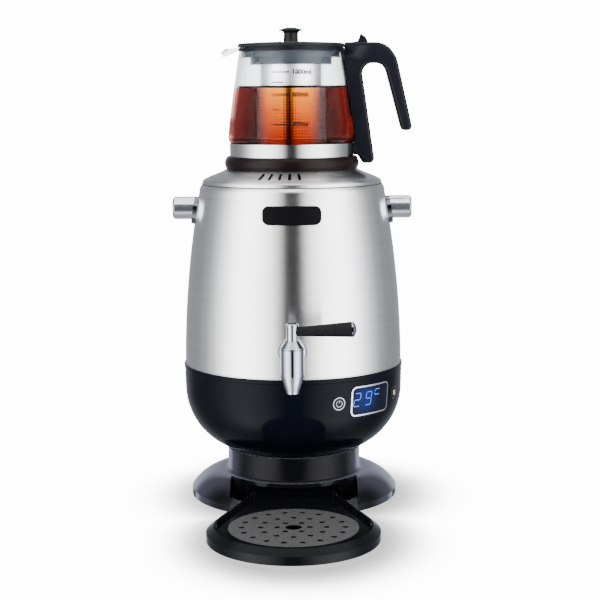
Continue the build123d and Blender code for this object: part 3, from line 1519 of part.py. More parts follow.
with BuildPart() as lid_collar:
    turn([
        (collar_in_r, lid_low_z),
        (collar_in_r, collar_low_z),
        (collar_low_r, collar_low_z),
        (collar_low_r, collar_step_z),
        (collar_r, collar_step_z),
        (collar_r, lid_low_z),
        (collar_r - collar_t, lid_low_z),
        (collar_r - collar_t, collar_step_z + collar_t),
        (collar_low_r - collar_t, collar_step_z + collar_t),
        (collar_low_r - collar_t, collar_low_z + collar_t),
        (collar_in_r + sleeve_t, collar_low_z + collar_t),
        (collar_in_r + sleeve_t, lid_low_z),
    ])
    # bayonet slots for the infuser's lugs: in from below, then round
    for k in range(lug_count):
        a = 360 / lug_count * k
        side = lug_arc / 2 + lug_ease
        ring_on(lug_low_z - slip, lug_low_z + lug_h + slip, collar_in_r - 1, lug_r + slip,
                a - side, lug_turn + 2 * side, mode=Mode.SUBTRACT)
        ring_on(collar_low_z - 1, lug_low_z + lug_h + slip, collar_in_r - 1, lug_r + slip,
                a + lug_turn - side, 2 * side, mode=Mode.SUBTRACT)
keep(lid_collar, "lid_collar")

with BuildPart() as lid_gasket:
    turn([
        (collar_r, gasket_seat_z),
        (lid_gasket_r - 0.2, gasket_seat_z),
        (lid_gasket_r, gasket_seat_z + lid_gasket_t / 2),
        (lid_gasket_r - 0.2, gasket_seat_z + lid_gasket_t),
        (collar_r, gasket_seat_z + lid_gasket_t),
    ])
keep(lid_gasket, "lid_gasket")

with BuildPart() as infuser_basket:
    tube(infuser_r, infuser_r - infuser_t, infuser_low_z, infuser_top_z)
    tube(infuser_r, 0, infuser_low_z, infuser_low_z + infuser_t)
keep(infuser_basket, "infuser_basket")

with BuildPart() as infuser_ring:
    tube(collar_in_r - slip, infuser_r, infuser_top_z - infuser_band_h, infuser_top_z)
    for k in range(lug_count):
        a = 360 / lug_count * k
        ring_on(lug_low_z, lug_low_z + lug_h, infuser_r + 0.2, lug_r, a - lug_arc / 2, lug_arc)
keep(infuser_ring, "infuser_ring")

# ================================================================ drip tray
tray_axis = Axis((0, tray_y, 0), (0, 0, 1))
tray_plane = Plane(origin=(0, tray_y, 0), x_dir=(1, 0, 0), z_dir=(0, -1, 0))

with BuildPart() as drip_tray:
    turn([(0, 0), (tray_r - 1.0, 0), (tray_r, 1.0), (tray_r, tray_side_z),
          (tray_recess_r + tray_land, tray_rim_z), (0, tray_rim_z)],
         plane=tray_plane, axis=tray_axis)
    extrude(tray_plan(0, tray_back_y), amount=tray_rim_z)
    recess = tray_plan(tray_land, tray_back_y - tray_back_wall)
    recess = recess.moved(Location((0, 0, tray_ledge_z)))
    extrude(recess, amount=tray_rim_z, dir=(0, 0, 1), mode=Mode.SUBTRACT)
    turn([(0, tray_floor_t), (tray_well_r - 3, tray_floor_t), (tray_well_r, tray_floor_t + 3),
          (tray_well_r, tray_rim_z), (0, tray_rim_z)],
         mode=Mode.SUBTRACT, plane=tray_plane, axis=tray_axis)
keep(drip_tray, "drip_tray")

with BuildPart() as drip_grate:
    with BuildSketch(Plane.XY.offset(tray_ledge_z)):
        with Locations((0, tray_y)):
            Circle(grate_r)
            Circle(grate_centre_r, mode=Mode.SUBTRACT)
            for ring_r, count in zip(grate_ring_r, grate_ring_counts):
                with PolarLocations(ring_r, count):
                    Circle(grate_hole_r, mode=Mode.SUBTRACT)
    extrude(amount=grate_t)
keep(drip_grate, "drip_grate")
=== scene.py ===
"""The samovar's looks: materials, the printed and liquid pieces, the studio and the camera.

Shapes are given in millimetres; what sockets and Blender's own objects take is in metres."""

from math import cos, pi, radians, sin, sqrt

import bpy
from mathutils import Matrix


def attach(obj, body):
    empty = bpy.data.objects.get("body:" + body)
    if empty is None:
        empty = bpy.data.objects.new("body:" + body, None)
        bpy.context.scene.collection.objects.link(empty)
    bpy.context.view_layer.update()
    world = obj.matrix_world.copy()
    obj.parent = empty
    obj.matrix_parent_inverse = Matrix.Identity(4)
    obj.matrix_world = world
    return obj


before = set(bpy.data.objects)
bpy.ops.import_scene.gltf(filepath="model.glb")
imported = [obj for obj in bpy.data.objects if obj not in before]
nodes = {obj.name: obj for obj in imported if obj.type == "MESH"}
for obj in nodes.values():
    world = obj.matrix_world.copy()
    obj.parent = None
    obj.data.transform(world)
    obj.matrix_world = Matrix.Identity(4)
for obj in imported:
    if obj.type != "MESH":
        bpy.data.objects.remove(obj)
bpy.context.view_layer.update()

MM = 0.001

# ---------------------------------------------------------------- places, in millimetres
# outlines are lists of (radius, height), azimuths are degrees to the right of the front
SHELL_ARC = [(116.7, 146.1), (112.0, 239.0), (98.9, 331.5)]
PANEL_R, PANEL_SLOPE, PANEL_Z = 117.1, 0.075, 119.7
DISPLAY_AZ = 43.6
BUTTON_Z, POWER_AZ, WARM_AZ = 119.5, 23.6, 64.9
BUTTON_PROUD = 0.8
WINDOW_FACE = 0.2
TEA_LEVEL = 439.0
# the pot's glass: a cone above its bulge, which stands on a rounded foot
GLASS_LINE_LOW, GLASS_LINE_TOP = (65.4, 408.0), (54.6, 480.6)
GLASS_BULGE = [(64.9, 381.0), (67.3, 389.0), (65.4, 408.0)]
GLASS_T = 2.2
GLASS_FOOT_Z = 386.5
# the cuts whose walls get painted shade: the foot's notch lies below this height, the cover's
# slots within this radius
NOTCH_TOP = 30.0
SLOTS_R = 91.0

# ---------------------------------------------------------------- node material helpers


def new_material(name):
    """A material with a Principled shader, its node tree and that shader."""
    mat = bpy.data.materials.new(name)
    mat.use_nodes = True
    tree = mat.node_tree
    return mat, tree, tree.nodes["Principled BSDF"]


def coordinates(tree, output="Object"):
    """A texture coordinate, such as Object, Normal or Generated."""
    return tree.nodes.new("ShaderNodeTexCoord").outputs[output]


def object_coords(tree, stretch=(1, 1, 1)):
    """Object coordinates, stretched along each axis, in metres."""
    mapping = tree.nodes.new("ShaderNodeMapping")
    mapping.inputs["Scale"].default_value = stretch
    tree.links.new(coordinates(tree), mapping.inputs["Vector"])
    return mapping.outputs["Vector"]


def noise(tree, scale, detail=3.0, stretch=(1, 1, 1), roughness=0.55):
    """A noise value from 0 to 1 over object coordinates."""
    tex = tree.nodes.new("ShaderNodeTexNoise")
    tex.inputs["Scale"].default_value = scale
    tex.inputs["Detail"].default_value = detail
    tex.inputs["Roughness"].default_value = roughness
    tree.links.new(object_coords(tree, stretch), tex.inputs["Vector"])
    return tex.outputs["Fac"]


def spread(tree, value, low, high, from_low=0.3, from_high=0.7):
    """A value mapped to the range low to high; most noise lies between 0.3 and 0.7."""
    node = tree.nodes.new("ShaderNodeMapRange")
    node.inputs["From Min"].default_value = from_low
    node.inputs["From Max"].default_value = from_high
    node.inputs["To Min"].default_value = low
    node.inputs["To Max"].default_value = high
    tree.links.new(value, node.inputs["Value"])
    return node.outputs["Result"]


def colour_ramp(tree, value, stops, interpolation="LINEAR"):
    """A colour ramp with (position, colour) stops."""
    node = tree.nodes.new("ShaderNodeValToRGB")
    node.color_ramp.interpolation = interpolation
    elements = node.color_ramp.elements
    while len(elements) < len(stops):
        elements.new(0.5)
    # every place before any colour, because a ramp keeps its elements sorted
    for element, (place, _) in zip(elements, stops):
        element.position = place
    for element, (_, colour) in zip(elements, stops):
        element.color = (*colour, 1.0)
    tree.links.new(value, node.inputs["Fac"])
    return node.outputs["Color"]


def bump(tree, shader, value, strength, distance):
    """Surface relief from a value, distance in millimetres."""
    node = tree.nodes.new("ShaderNodeBump")
    node.inputs["Strength"].default_value = strength
    node.inputs["Distance"].default_value = distance * MM
    tree.links.new(value, node.inputs["Height"])
    tree.links.new(node.outputs["Normal"], shader.inputs["Normal"])


def scaled(colour, factor):
    """A colour made brighter or darker, kept to 1 at most."""
    return tuple(min(1.0, c * factor) for c in colour)


def maths(tree, kind, a, b=None):
    """One arithmetic node; its inputs are sockets or numbers."""
    node = tree.nodes.new("ShaderNodeMath")
    node.operation = kind
    for socket, value in zip(node.inputs, (a, b)):
        if isinstance(value, (int, float)):
            socket.default_value = value
        elif value is not None:
            tree.links.new(value, socket)
    return node.outputs["Value"]


def blend(tree, kind, factor, a, b):
    """A colour mix node; factor, a and b are sockets, numbers or colours."""
    node = tree.nodes.new("ShaderNodeMix")
    node.data_type = "RGBA"
    node.blend_type = kind
    for key, value in (("Factor", factor), ("A", a), ("B", b)):
        if isinstance(value, (int, float)):
            node.inputs[key].default_value = value
        elif isinstance(value, tuple):
            node.inputs[key].default_value = (*value, 1.0)
        else:
            tree.links.new(value, node.inputs[key])
    return node.outputs["Result"]


def vector_maths(tree, kind, a, b=None):
    """One vector node; a is a socket and b, where there is one, a constant vector."""
    node = tree.nodes.new("ShaderNodeVectorMath")
    node.operation = kind
    tree.links.new(a, node.inputs[0])
    if b is not None:
        node.inputs[1].default_value = b
    return node.outputs["Value" if kind == "DISTANCE" else "Vector"]


def xyz(tree, vector):
    """X, Y and Z of a vector."""
    split = tree.nodes.new("ShaderNodeSeparateXYZ")
    tree.links.new(vector, split.inputs["Vector"])
    return [split.outputs[axis] for axis in "XYZ"]


def parts_of(tree, output):
    """X, Y and Z of a texture coordinate, such as Object or Normal."""
    return xyz(tree, coordinates(tree, output))


def length_of(tree, a, b):
    """The length of the flat vector (a, b)."""
    return maths(tree, "SQRT", maths(tree, "ADD", maths(tree, "MULTIPLY", a, a),
                                     maths(tree, "MULTIPLY", b, b)))


def facing(tree):
    """From 0 where a surface is seen straight on to 1 where it is seen edge on."""
    weight = tree.nodes.new("ShaderNodeLayerWeight")
    weight.inputs["Blend"].default_value = 0.5
    return weight.outputs["Facing"]


# limits on one part of a normal, for where shade is painted: a notch's side walls, walls that
# stand, faces that lie level
SIDEWAYS, UPRIGHT, LEVEL = 0.95, 0.35, 0.55


def cut_walls(tree, kind):
    """1 on the upright walls of a piece's cuts, where shade is painted, 0 elsewhere."""
    x, y, z = parts_of(tree, "Object")
    normal_x, _, normal_z = parts_of(tree, "Normal")
    if kind == "notch":
        sideways = maths(tree, "GREATER_THAN", maths(tree, "ABSOLUTE", normal_x), SIDEWAYS)
        return maths(tree, "MULTIPLY", sideways, maths(tree, "LESS_THAN", z, NOTCH_TOP * MM))
    upright = maths(tree, "LESS_THAN", normal_z, UPRIGHT)
    if kind == "slots":
        inside = maths(tree, "LESS_THAN", length_of(tree, x, y), SLOTS_R * MM)
        return maths(tree, "MULTIPLY", upright, inside)
    return upright


# how much gloss varies over a brushed surface, and relief heights in millimetres
BRUSH_GLOSS = 0.08
GRAIN_MM, BRUSH_MM = 0.05, 0.02


def surface(name, colour, rough, metallic=0.0, specular=0.5, grain=60.0, stretch=(1, 1, 1),
            tint=0.12, rough_spread=0.2, relief=0.05, detail=3.0, painted_sheen=None, cuts=None):
    """A general opaque finish: colour, gloss and relief vary a little over the surface.

    painted_sheen is a list of (facing, colour) stops for a painted sheen, a colour that pales
    where the surface is seen edge on; cuts names the cut walls that get painted shade, for
    cut_walls."""
    mat, tree, shader = new_material(name)
    grain_value = noise(tree, grain, detail, stretch)
    base = colour_ramp(tree, grain_value, [(0.25, scaled(colour, 1 - tint)),
                                           (0.75, scaled(colour, 1 + tint))])
    # painted sheen: the base colour pales where the surface is seen edge on, for the studio's
    # reflection
    if painted_sheen:
        base = blend(tree, "ADD", 1.0, base, colour_ramp(tree, facing(tree), painted_sheen, "EASE"))
    # painted shade: the walls of the piece's cuts are darkened
    if cuts:
        base = blend(tree, "MIX", cut_walls(tree, cuts), base, PAINTED_CUT_SHADE)
    tree.links.new(base, shader.inputs["Base Color"])
    tree.links.new(spread(tree, grain_value, rough * (1 - rough_spread),
                          rough * (1 + rough_spread)), shader.inputs["Roughness"])
    shader.inputs["Metallic"].default_value = metallic
    shader.inputs["Specular IOR Level"].default_value = specular
    if relief:
        bump(tree, shader, grain_value, relief, GRAIN_MM)
    return mat


# how little the brush lines vary along their run
BRUSH_RUN = 6


def brushed(name, colour, rough, lines=420.0, tint=0.05, relief=0.06, axis="Z", smear=0.8,
            cuts=None):
    """Steel brushed round an axis: fine lines that smear reflections across them."""
    mat, tree, shader = new_material(name)
    stretch = (BRUSH_RUN, BRUSH_RUN, lines) if axis == "Z" else (lines, BRUSH_RUN, BRUSH_RUN)
    line_value = noise(tree, 1.0, detail=4.0, stretch=stretch, roughness=0.7)
    cloud = noise(tree, 9.0, detail=2.0)
    base = colour_ramp(tree, line_value, [(0.3, scaled(colour, 1 - tint)),
                                          (0.7, scaled(colour, 1 + tint))])
    # painted shade: the walls of the piece's cuts are darkened
    if cuts:
        base = blend(tree, "MIX", cut_walls(tree, cuts), base, PAINTED_CUT_SHADE)
    tree.links.new(base, shader.inputs["Base Color"])
    tree.links.new(spread(tree, cloud, rough * (1 - BRUSH_GLOSS), rough * (1 + BRUSH_GLOSS)),
                   shader.inputs["Roughness"])
    shader.inputs["Metallic"].default_value = 1.0
    shader.inputs["Anisotropic"].default_value = smear
    shader.inputs["Anisotropic Rotation"].default_value = 0.25
    tangent = tree.nodes.new("ShaderNodeTangent")
    tangent.direction_type = "RADIAL"
    tangent.axis = axis
    tree.links.new(tangent.outputs["Tangent"], shader.inputs["Tangent"])
    bump(tree, shader, line_value, relief, BRUSH_MM)
    return mat


def glow(name, colour, strength, base=(0.01, 0.01, 0.012)):
    """A lit piece, such as a display segment, a little uneven."""
    mat, tree, shader = new_material(name)
    value = noise(tree, 900.0, detail=2.0)
    tree.links.new(colour_ramp(tree, value, [(0.2, scaled(colour, 0.85)), (0.8, colour)]),
                   shader.inputs["Emission Color"])
    tree.links.new(colour_ramp(tree, value, [(0.2, base), (0.8, scaled(base, 1.2))]),
                   shader.inputs["Base Color"])
    shader.inputs["Emission Strength"].default_value = strength
    shader.inputs["Roughness"].default_value = 0.4
    return mat


def clear(name, colour, rough, ior, veil, edge, tea_edge_tint):
    """Clear glass. veil scales how much it mirrors, edge how pale it stays seen edge on, under
    its painted edge shade.

    tea_edge_tint is the colour painted on the edge where the tea stands behind the glass, for the
    tea's light seen through it."""
    mat, tree, shader = new_material(name)
    value = noise(tree, 40.0, detail=2.0)
    body = colour_ramp(tree, value, [(0.3, scaled(colour, 0.98)), (0.7, colour)])
    seen = facing(tree)
    # painted shade: the glass darkens where it is seen edge on
    painted_edge_shade = colour_ramp(tree, seen, [(0.25, WHOLE), (0.60, (0.6 + edge * 0.4,) * 3),
                                   (0.85, (0.2 + edge * 0.8,) * 3), (1.0, (edge,) * 3)])
    # painted light: below the liquid's surface the tea's colour seen through the wall is painted
    # on its edge, and over the whole foot
    painted_tea_edge = colour_ramp(tree, seen, [(0.35, WHOLE), (0.62, scaled(tea_edge_tint, 3.0)),
                                       (0.85, scaled(tea_edge_tint, 1.4)), (1.0, tea_edge_tint)])
    _, _, z = parts_of(tree, "Object")
    thick = blend(tree, "MIX", maths(tree, "LESS_THAN", z, TEA_LEVEL * MM), painted_edge_shade, painted_tea_edge)
    thick = blend(tree, "MULTIPLY", maths(tree, "LESS_THAN", z, GLASS_FOOT_Z * MM), thick,
                  PAINTED_TEA_FOOT)
    # painted shade: faces that lie level above the tea, the rim and the spout's edges, are greyed
    _, _, normal_z = parts_of(tree, "Normal")
    level = maths(tree, "GREATER_THAN", maths(tree, "ABSOLUTE", normal_z), LEVEL)
    above = maths(tree, "GREATER_THAN", z, TEA_LEVEL * MM)
    thick = blend(tree, "MIX", maths(tree, "MULTIPLY", level, above), thick, PAINTED_RIM_SHADE)
    tree.links.new(blend(tree, "MULTIPLY", 1.0, body, thick), shader.inputs["Base Color"])
    tree.links.new(spread(tree, value, rough * 0.8, rough * 1.2), shader.inputs["Roughness"])
    shader.inputs["Transmission Weight"].default_value = 1.0
    shader.inputs["IOR"].default_value = ior
    shader.inputs["Specular Tint"].default_value = (veil, veil, veil, 1.0)
    return mat


# ---------------------------------------------------------------- materials
BLACK, WHOLE = (0.0, 0.0, 0.0), (1.0, 1.0, 1.0)
# painted shade on cut walls and on the glass's level faces, and the tea's colour painted
# on the glass's foot
PAINTED_CUT_SHADE = (0.0015, 0.0015, 0.0018)
PAINTED_RIM_SHADE = (0.42, 0.43, 0.45)
PAINTED_TEA_FOOT = (0.50, 0.30, 0.28)
foot_black = surface("foot_black", (0.0022, 0.0023, 0.0030), 0.12, specular=0.05, grain=70,
                     relief=0.03, cuts="notch",
                     painted_sheen=[(0.34, BLACK), (0.60, (0.019, 0.019, 0.026)),
                            (0.78, (0.125, 0.128, 0.165)), (1.0, (0.28, 0.29, 0.34))])
tray_black = surface("tray_black", (0.0022, 0.0023, 0.0030), 0.14, specular=0.06, grain=70,
                     relief=0.03, painted_sheen=[(0.80, BLACK), (1.0, (0.10, 0.105, 0.12))])
housing_black = surface("housing_black", (0.0015, 0.0018, 0.0036), 0.13, specular=0.035, grain=90,
                        relief=0.03, painted_sheen=[(0.60, BLACK), (0.85, (0.012, 0.013, 0.016)),
                                            (1.0, (0.070, 0.073, 0.085))])
handle_black = surface("handle_black", (0.0046, 0.0050, 0.0074), 0.24, specular=0.06, grain=60,
                       tint=0.05, relief=0.01, painted_sheen=[(0.6, BLACK), (1.0, (0.03, 0.03, 0.035))])
lid_black = surface("lid_black", (0.0085, 0.0092, 0.0105), 0.22, specular=0.06, grain=120,
                    relief=0.03, painted_sheen=[(0.6, BLACK), (1.0, (0.02, 0.02, 0.024))])
plate_black = surface("plate_black", (0.0022, 0.0022, 0.0026), 0.3, specular=0.02, grain=300,
                      relief=0.02)
seat_brown = surface("seat_brown", (0.0050, 0.0026, 0.0026), 0.16, specular=0.06, grain=110,
                     relief=0.03, painted_sheen=[(0.6, BLACK), (1.0, (0.018, 0.011, 0.012))])
grip_black = surface("grip_black", (0.0052, 0.0052, 0.0058), 0.40, specular=0.04, grain=300,
                     relief=0.03)
# real rubber, and also the dark rings painted as shade in the cover's and the tap's gaps
rubber_and_shade_black = surface("rubber_and_shade_black", (0.016, 0.016, 0.017), 0.75, specular=0.25, grain=700,
                       relief=0.25)
inner_dark = surface("inner_dark", (0.035, 0.035, 0.036), 0.55, specular=0.3, grain=200,
                     relief=0.1)
silicone_grey = surface("silicone_grey", (0.42, 0.42, 0.41), 0.45, specular=0.4, grain=150)
board_green = surface("board_green", (0.012, 0.10, 0.045), 0.45, grain=400, relief=0.3)
brass_turned = surface("brass_turned", (0.62, 0.44, 0.17), 0.28, metallic=1.0, grain=300,
                       stretch=(1, 8, 1))
zinc_plate = surface("zinc_plate", (0.50, 0.51, 0.53), 0.30, metallic=1.0, grain=420)
cast_aluminium = surface("cast_aluminium", (0.60, 0.60, 0.61), 0.45, metallic=1.0, grain=260,
                         relief=0.3)
drawn_steel = surface("drawn_steel", (0.55, 0.55, 0.55), 0.38, metallic=1.0, grain=30,
                      stretch=(1, 1, 6), tint=0.04, rough_spread=0.1, relief=0.006)
chrome_plate = surface("chrome_plate", (0.24, 0.255, 0.29), 0.06, metallic=1.0, grain=45,
                       tint=0.03, relief=0.02)
silver_plate = surface("silver_plate", (0.42, 0.43, 0.47), 0.22, metallic=1.0, grain=300,
                       tint=0.04)
ring_silver = surface("ring_silver", (0.17, 0.175, 0.19), 0.25, metallic=1.0, grain=300,
                      tint=0.04)
knob_steel = brushed("knob_steel", (0.60, 0.62, 0.68), 0.18, axis="X", smear=0.0, tint=0.02)
rosette_chrome = surface("rosette_chrome", (0.11, 0.118, 0.138), 0.10, metallic=1.0, grain=45,
                         tint=0.03, relief=0.02)
body_steel = brushed("body_steel", (0.592, 0.582, 0.570), 0.22)
band_steel = brushed("band_steel", (0.47, 0.465, 0.46), 0.22)
cover_steel = brushed("cover_steel", (0.51, 0.50, 0.50), 0.26, cuts="slots")
grate_steel = surface("grate_steel", (0.040, 0.040, 0.040), 0.50, metallic=0.2, specular=0.3,
                      grain=900, tint=0.22, relief=0.35, detail=2.0, cuts="holes")
pot_glass_mat = clear("clear_glass", (0.93, 0.945, 0.95), 0.004, 1.17, veil=0.45, edge=0.14,
                      tea_edge_tint=(0.17, 0.030, 0.022))
SMOKE_ALPHA = 0.90
smoke = surface("smoky_plastic", (0.038, 0.045, 0.054), 0.22, specular=0.15, grain=60,
                tint=0.06, relief=0.01)
smoke.node_tree.nodes["Principled BSDF"].inputs["Alpha"].default_value = SMOKE_ALPHA
button_black = surface("button_black", (0.005, 0.0055, 0.008), 0.20, specular=0.05, grain=300)
mark_ink = surface("mark_ink", (0.006, 0.0055, 0.0055), 0.5, specular=0.05, grain=900,
                   relief=0.0)
icon_white = glow("icon_white", (0.75, 0.78, 0.85), 0.20, (0.20, 0.20, 0.21))
icon_amber = glow("icon_amber", (1.0, 0.62, 0.32), 0.5, (0.5, 0.36, 0.25))
digit_blue = glow("digit_blue", (0.012, 0.15, 1.0), 2.1)

# the infuser's fine holes: how many round it, then metres, then a share of the pitch
HOLES_ROUND, HOLE_PITCH = 72, 0.0030
HOLES_LOW, HOLES_HIGH = 0.3850, 0.4365
HOLE_R = 0.30
HOLE_DARK = (0.012, 0.010, 0.009)


def hole_mask(tree, x, y, z):
    """1 inside the infuser's fine holes, 0 between them."""
    turns = maths(tree, "MULTIPLY", maths(tree, "ARCTAN2", x, y), HOLES_ROUND / (2 * pi))
    across = maths(tree, "SUBTRACT", maths(tree, "FRACT", turns), 0.5)
    rows = maths(tree, "DIVIDE", z, HOLE_PITCH)
    up = maths(tree, "SUBTRACT", maths(tree, "FRACT", rows), 0.5)
    hole = maths(tree, "LESS_THAN", length_of(tree, across, up), HOLE_R)
    below = maths(tree, "LESS_THAN", z, HOLES_HIGH)
    above = maths(tree, "GREATER_THAN", z, HOLES_LOW)
    return maths(tree, "MULTIPLY", hole, maths(tree, "MULTIPLY", below, above))


def perforated(name):
    """The infuser's steel: plain on top, rows of fine holes below."""
    mat, tree, shader = new_material(name)
    mask = hole_mask(tree, *parts_of(tree, "Object"))
    lines = noise(tree, 1.0, detail=4.0, stretch=(9, 9, 300), roughness=0.7)
    steel = colour_ramp(tree, lines, [(0.3, (0.80, 0.80, 0.82)), (0.7, (0.86, 0.86, 0.88))])
    tree.links.new(blend(tree, "MIX", mask, steel, HOLE_DARK), shader.inputs["Base Color"])
    shader.inputs["Metallic"].default_value = 0.75
    shader.inputs["Roughness"].default_value = 0.24
    bump(tree, shader, maths(tree, "SUBTRACT", 1.0, mask), 0.4, 0.15)
    return mat


# strong black tea: what its depth leaves of white light, and how soon
TEA_ABSORBS, TEA_DENSITY = (0.58, 0.235, 0.175, 1.0), 98.0


def tea_liquid(name):
    """Strong black tea: clear, and darkened by its own depth."""
    mat, tree, shader = new_material(name)
    cloudy = colour_ramp(tree, noise(tree, 30.0, detail=2.0),
                         [(0.3, (0.97, 0.95, 0.94)), (0.7, (1.0, 0.98, 0.97))])
    tree.links.new(cloudy, shader.inputs["Base Color"])
    shader.inputs["Transmission Weight"].default_value = 1.0
    shader.inputs["Roughness"].default_value = 0.0
    shader.inputs["IOR"].default_value = 1.03
    absorb = tree.nodes.new("ShaderNodeVolumeAbsorption")
    absorb.inputs["Color"].default_value = TEA_ABSORBS
    absorb.inputs["Density"].default_value = TEA_DENSITY
    output = next(n for n in tree.nodes if n.type == "OUTPUT_MATERIAL")
    tree.links.new(absorb.outputs["Volume"], output.inputs["Volume"])
    return mat


# the light in the infuser, in metres: its foot, a painted dark stripe and painted grey flanks
CORE_FOOT = 0.376
CORE_STRIPE_X, CORE_STRIPE_IN, CORE_STRIPE_OUT = -0.0022, 0.0014, 0.0075
CORE_FLANK_IN, CORE_FLANK_OUT = 0.0215, 0.0325
FLANK_REFLECTION_GREY = (0.105, 0.165, 0.205)
CORE_STRENGTH, CORE_ALPHA, CORE_DOT = 7.5, 0.95, 0.95


def tea_core_light(name):
    """The light that comes through the infuser into the tea: yellow on top, red below."""
    mat, tree, shader = new_material(name)
    x, y, z = parts_of(tree, "Object")
    height = spread(tree, z, 0.0, 1.0, CORE_FOOT, TEA_LEVEL * MM)
    colour = colour_ramp(tree, height, [
        (0.0, (0.22, 0.022, 0.001)), (0.25, (0.44, 0.080, 0.003)), (0.6, (0.72, 0.30, 0.006)),
        (0.92, (0.95, 0.64, 0.008)), (1.0, (0.80, 0.52, 0.008))])
    # painted reflection: a dark stripe down the front stands for the steel's dark reflection, the
    # flanks are painted grey for the steel seen through the tea, and each hole is a dark dot
    beside = maths(tree, "ABSOLUTE", maths(tree, "SUBTRACT", x, CORE_STRIPE_X))
    stripe_shade = spread(tree, beside, 0.06, 1.0, CORE_STRIPE_IN, CORE_STRIPE_OUT)
    flank = spread(tree, beside, 1.0, 0.0, CORE_FLANK_IN, CORE_FLANK_OUT)
    dots = maths(tree, "MULTIPLY", hole_mask(tree, x, y, z), CORE_DOT)
    shade = maths(tree, "MULTIPLY", stripe_shade, maths(tree, "SUBTRACT", 1.0, dots))
    lit = blend(tree, "MULTIPLY", 1.0, blend(tree, "MIX", flank, FLANK_REFLECTION_GREY, colour), shade)
    tree.links.new(lit, shader.inputs["Emission Color"])
    tree.links.new(lit, shader.inputs["Base Color"])
    shader.inputs["Emission Strength"].default_value = CORE_STRENGTH
    shader.inputs["Alpha"].default_value = CORE_ALPHA
    shader.inputs["Roughness"].default_value = 0.6
    shader.inputs["Specular IOR Level"].default_value = 0.0
    return mat


infuser_steel = perforated("infuser_steel")
tea_mat = tea_liquid("tea")
tea_core_mat = tea_core_light("tea_core_light")

NODE_MATERIALS = {
    foot_black: ["foot_shell"],
    tray_black: ["drip_tray"],
    housing_black: ["lower_housing"],
    inner_dark: ["base_plate", "display_module", "thermal_cutouts", "cover_liner"],
    rubber_and_shade_black: ["rubber_ring"],
    zinc_plate: ["base_screws", "foot_screws", "board_screws", "shield_screws", "tank_studs",
                 "stud_nuts", "handle_screws", "handle_bolt", "catch_pin", "knob_screw"],
    grip_black: ["cord_gland", "tap_lever"],
    silver_plate: ["display_bezel"],
    ring_silver: ["button_rings"],
    button_black: ["power_button", "keep_warm_button"],
    board_green: ["control_board"],
    body_steel: ["outer_shell"],
    cover_steel: ["tank_cover"],
    band_steel: ["pot_band"],
    drawn_steel: ["water_tank", "heating_element", "heat_shield", "temperature_sensor"],
    cast_aluminium: ["heater_plate"],
    knob_steel: ["left_handle_knob", "right_handle_knob"],
    rosette_chrome: ["handle_rosettes"],
    chrome_plate: ["tap_body", "tap_escutcheon", "tap_bonnet", "tap_plug", "tap_cap",
                   "lever_tip"],
    silicone_grey: ["tap_spacer", "tap_seal", "plug_o_rings", "cover_gasket"],
    brass_turned: ["tap_nut"],
    seat_brown: ["pot_seat_ring"],
    pot_glass_mat: ["pot_glass"],
    handle_black: ["pot_handle", "rim_collar", "lid_catch"],
    lid_black: ["pot_lid", "lid_knob"],
    smoke: ["lid_collar", "lid_gasket"],
    infuser_steel: ["infuser_basket", "infuser_ring"],
    grate_steel: ["drip_grate"],
}
# what the meshes' shading takes: points closer than this are one, edges sharper than this split
WELD_M, SHARP_ANGLE = 1e-5, radians(28)


def split_sharp(obj):
    """Splits an object's shading at its sharp edges."""
    edges = obj.modifiers.new("sharp edges", "EDGE_SPLIT")
    edges.split_angle = SHARP_ANGLE


def give(obj, material):
    """Gives an object's whole surface one material."""
    if not obj.material_slots:
        obj.data.materials.append(material)
    for material_slot in obj.material_slots:
        material_slot.material = material


for material, names in NODE_MATERIALS.items():
    for node_name in names:
        give(nodes[node_name], material)
for obj in nodes.values():
    for polygon in obj.data.polygons:
        polygon.use_smooth = True
    weld = obj.modifiers.new("weld", "WELD")
    weld.merge_threshold = WELD_M
    split_sharp(obj)


# ---------------------------------------------------------------- new pieces
# bodies are named in every call; proud and thick are millimetres off the face
def make_piece(name, verts, faces, material, body, smooth=False):
    """A mesh object from millimetre points, riding a body."""
    mesh = bpy.data.meshes.new(name)
    mesh.from_pydata([tuple(c * MM for c in v) for v in verts], [], faces)
    mesh.update()
    for polygon in mesh.polygons:
        polygon.use_smooth = smooth
    mesh.materials.append(material)
    obj = bpy.data.objects.new(name, mesh)
    bpy.context.scene.collection.objects.link(obj)
    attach(obj, body)
    return obj


ROUND, FINE_ROUND = 128, 192


def lathe(name, profile, material, body, segments=ROUND, centre_y=0.0):
    """A closed ring turned from (radius, height) points about an upright axis at x = 0."""
    verts, faces = [], []
    count = len(profile)
    for k in range(segments):
        a = 2 * pi * k / segments
        verts += [(r * cos(a), centre_y + r * sin(a), z) for r, z in profile]
    for k in range(segments):
        n = (k + 1) % segments
        for i in range(count):
            j = (i + 1) % count
            faces.append((k * count + i, n * count + i, n * count + j, k * count + j))
    split_sharp(make_piece(name, verts, faces, material, body, True))


def solid_lathe(name, profile, material, body, segments=ROUND):
    """A solid turned from a profile that starts and ends on the axis."""
    verts, faces = [(0, 0, profile[0][1]), (0, 0, profile[-1][1])], []
    rings = profile[1:-1]
    count = len(rings)
    for k in range(segments):
        a = 2 * pi * k / segments
        verts += [(r * cos(a), r * sin(a), z) for r, z in rings]
    for k in range(segments):
        n = (k + 1) % segments
        p, q = 2 + k * count, 2 + n * count
        faces.append((0, q, p))
        faces.append((1, p + count - 1, q + count - 1))
        for i in range(count - 1):
            faces.append((p + i, q + i, q + i + 1, p + i + 1))
    split_sharp(make_piece(name, verts, faces, material, body, True))


def box_profile(r_in, r_out, z_low, z_high):
    """A lathe profile with a rectangular section."""
    return [(r_in, z_low), (r_out, z_low), (r_out, z_high), (r_in, z_high)]


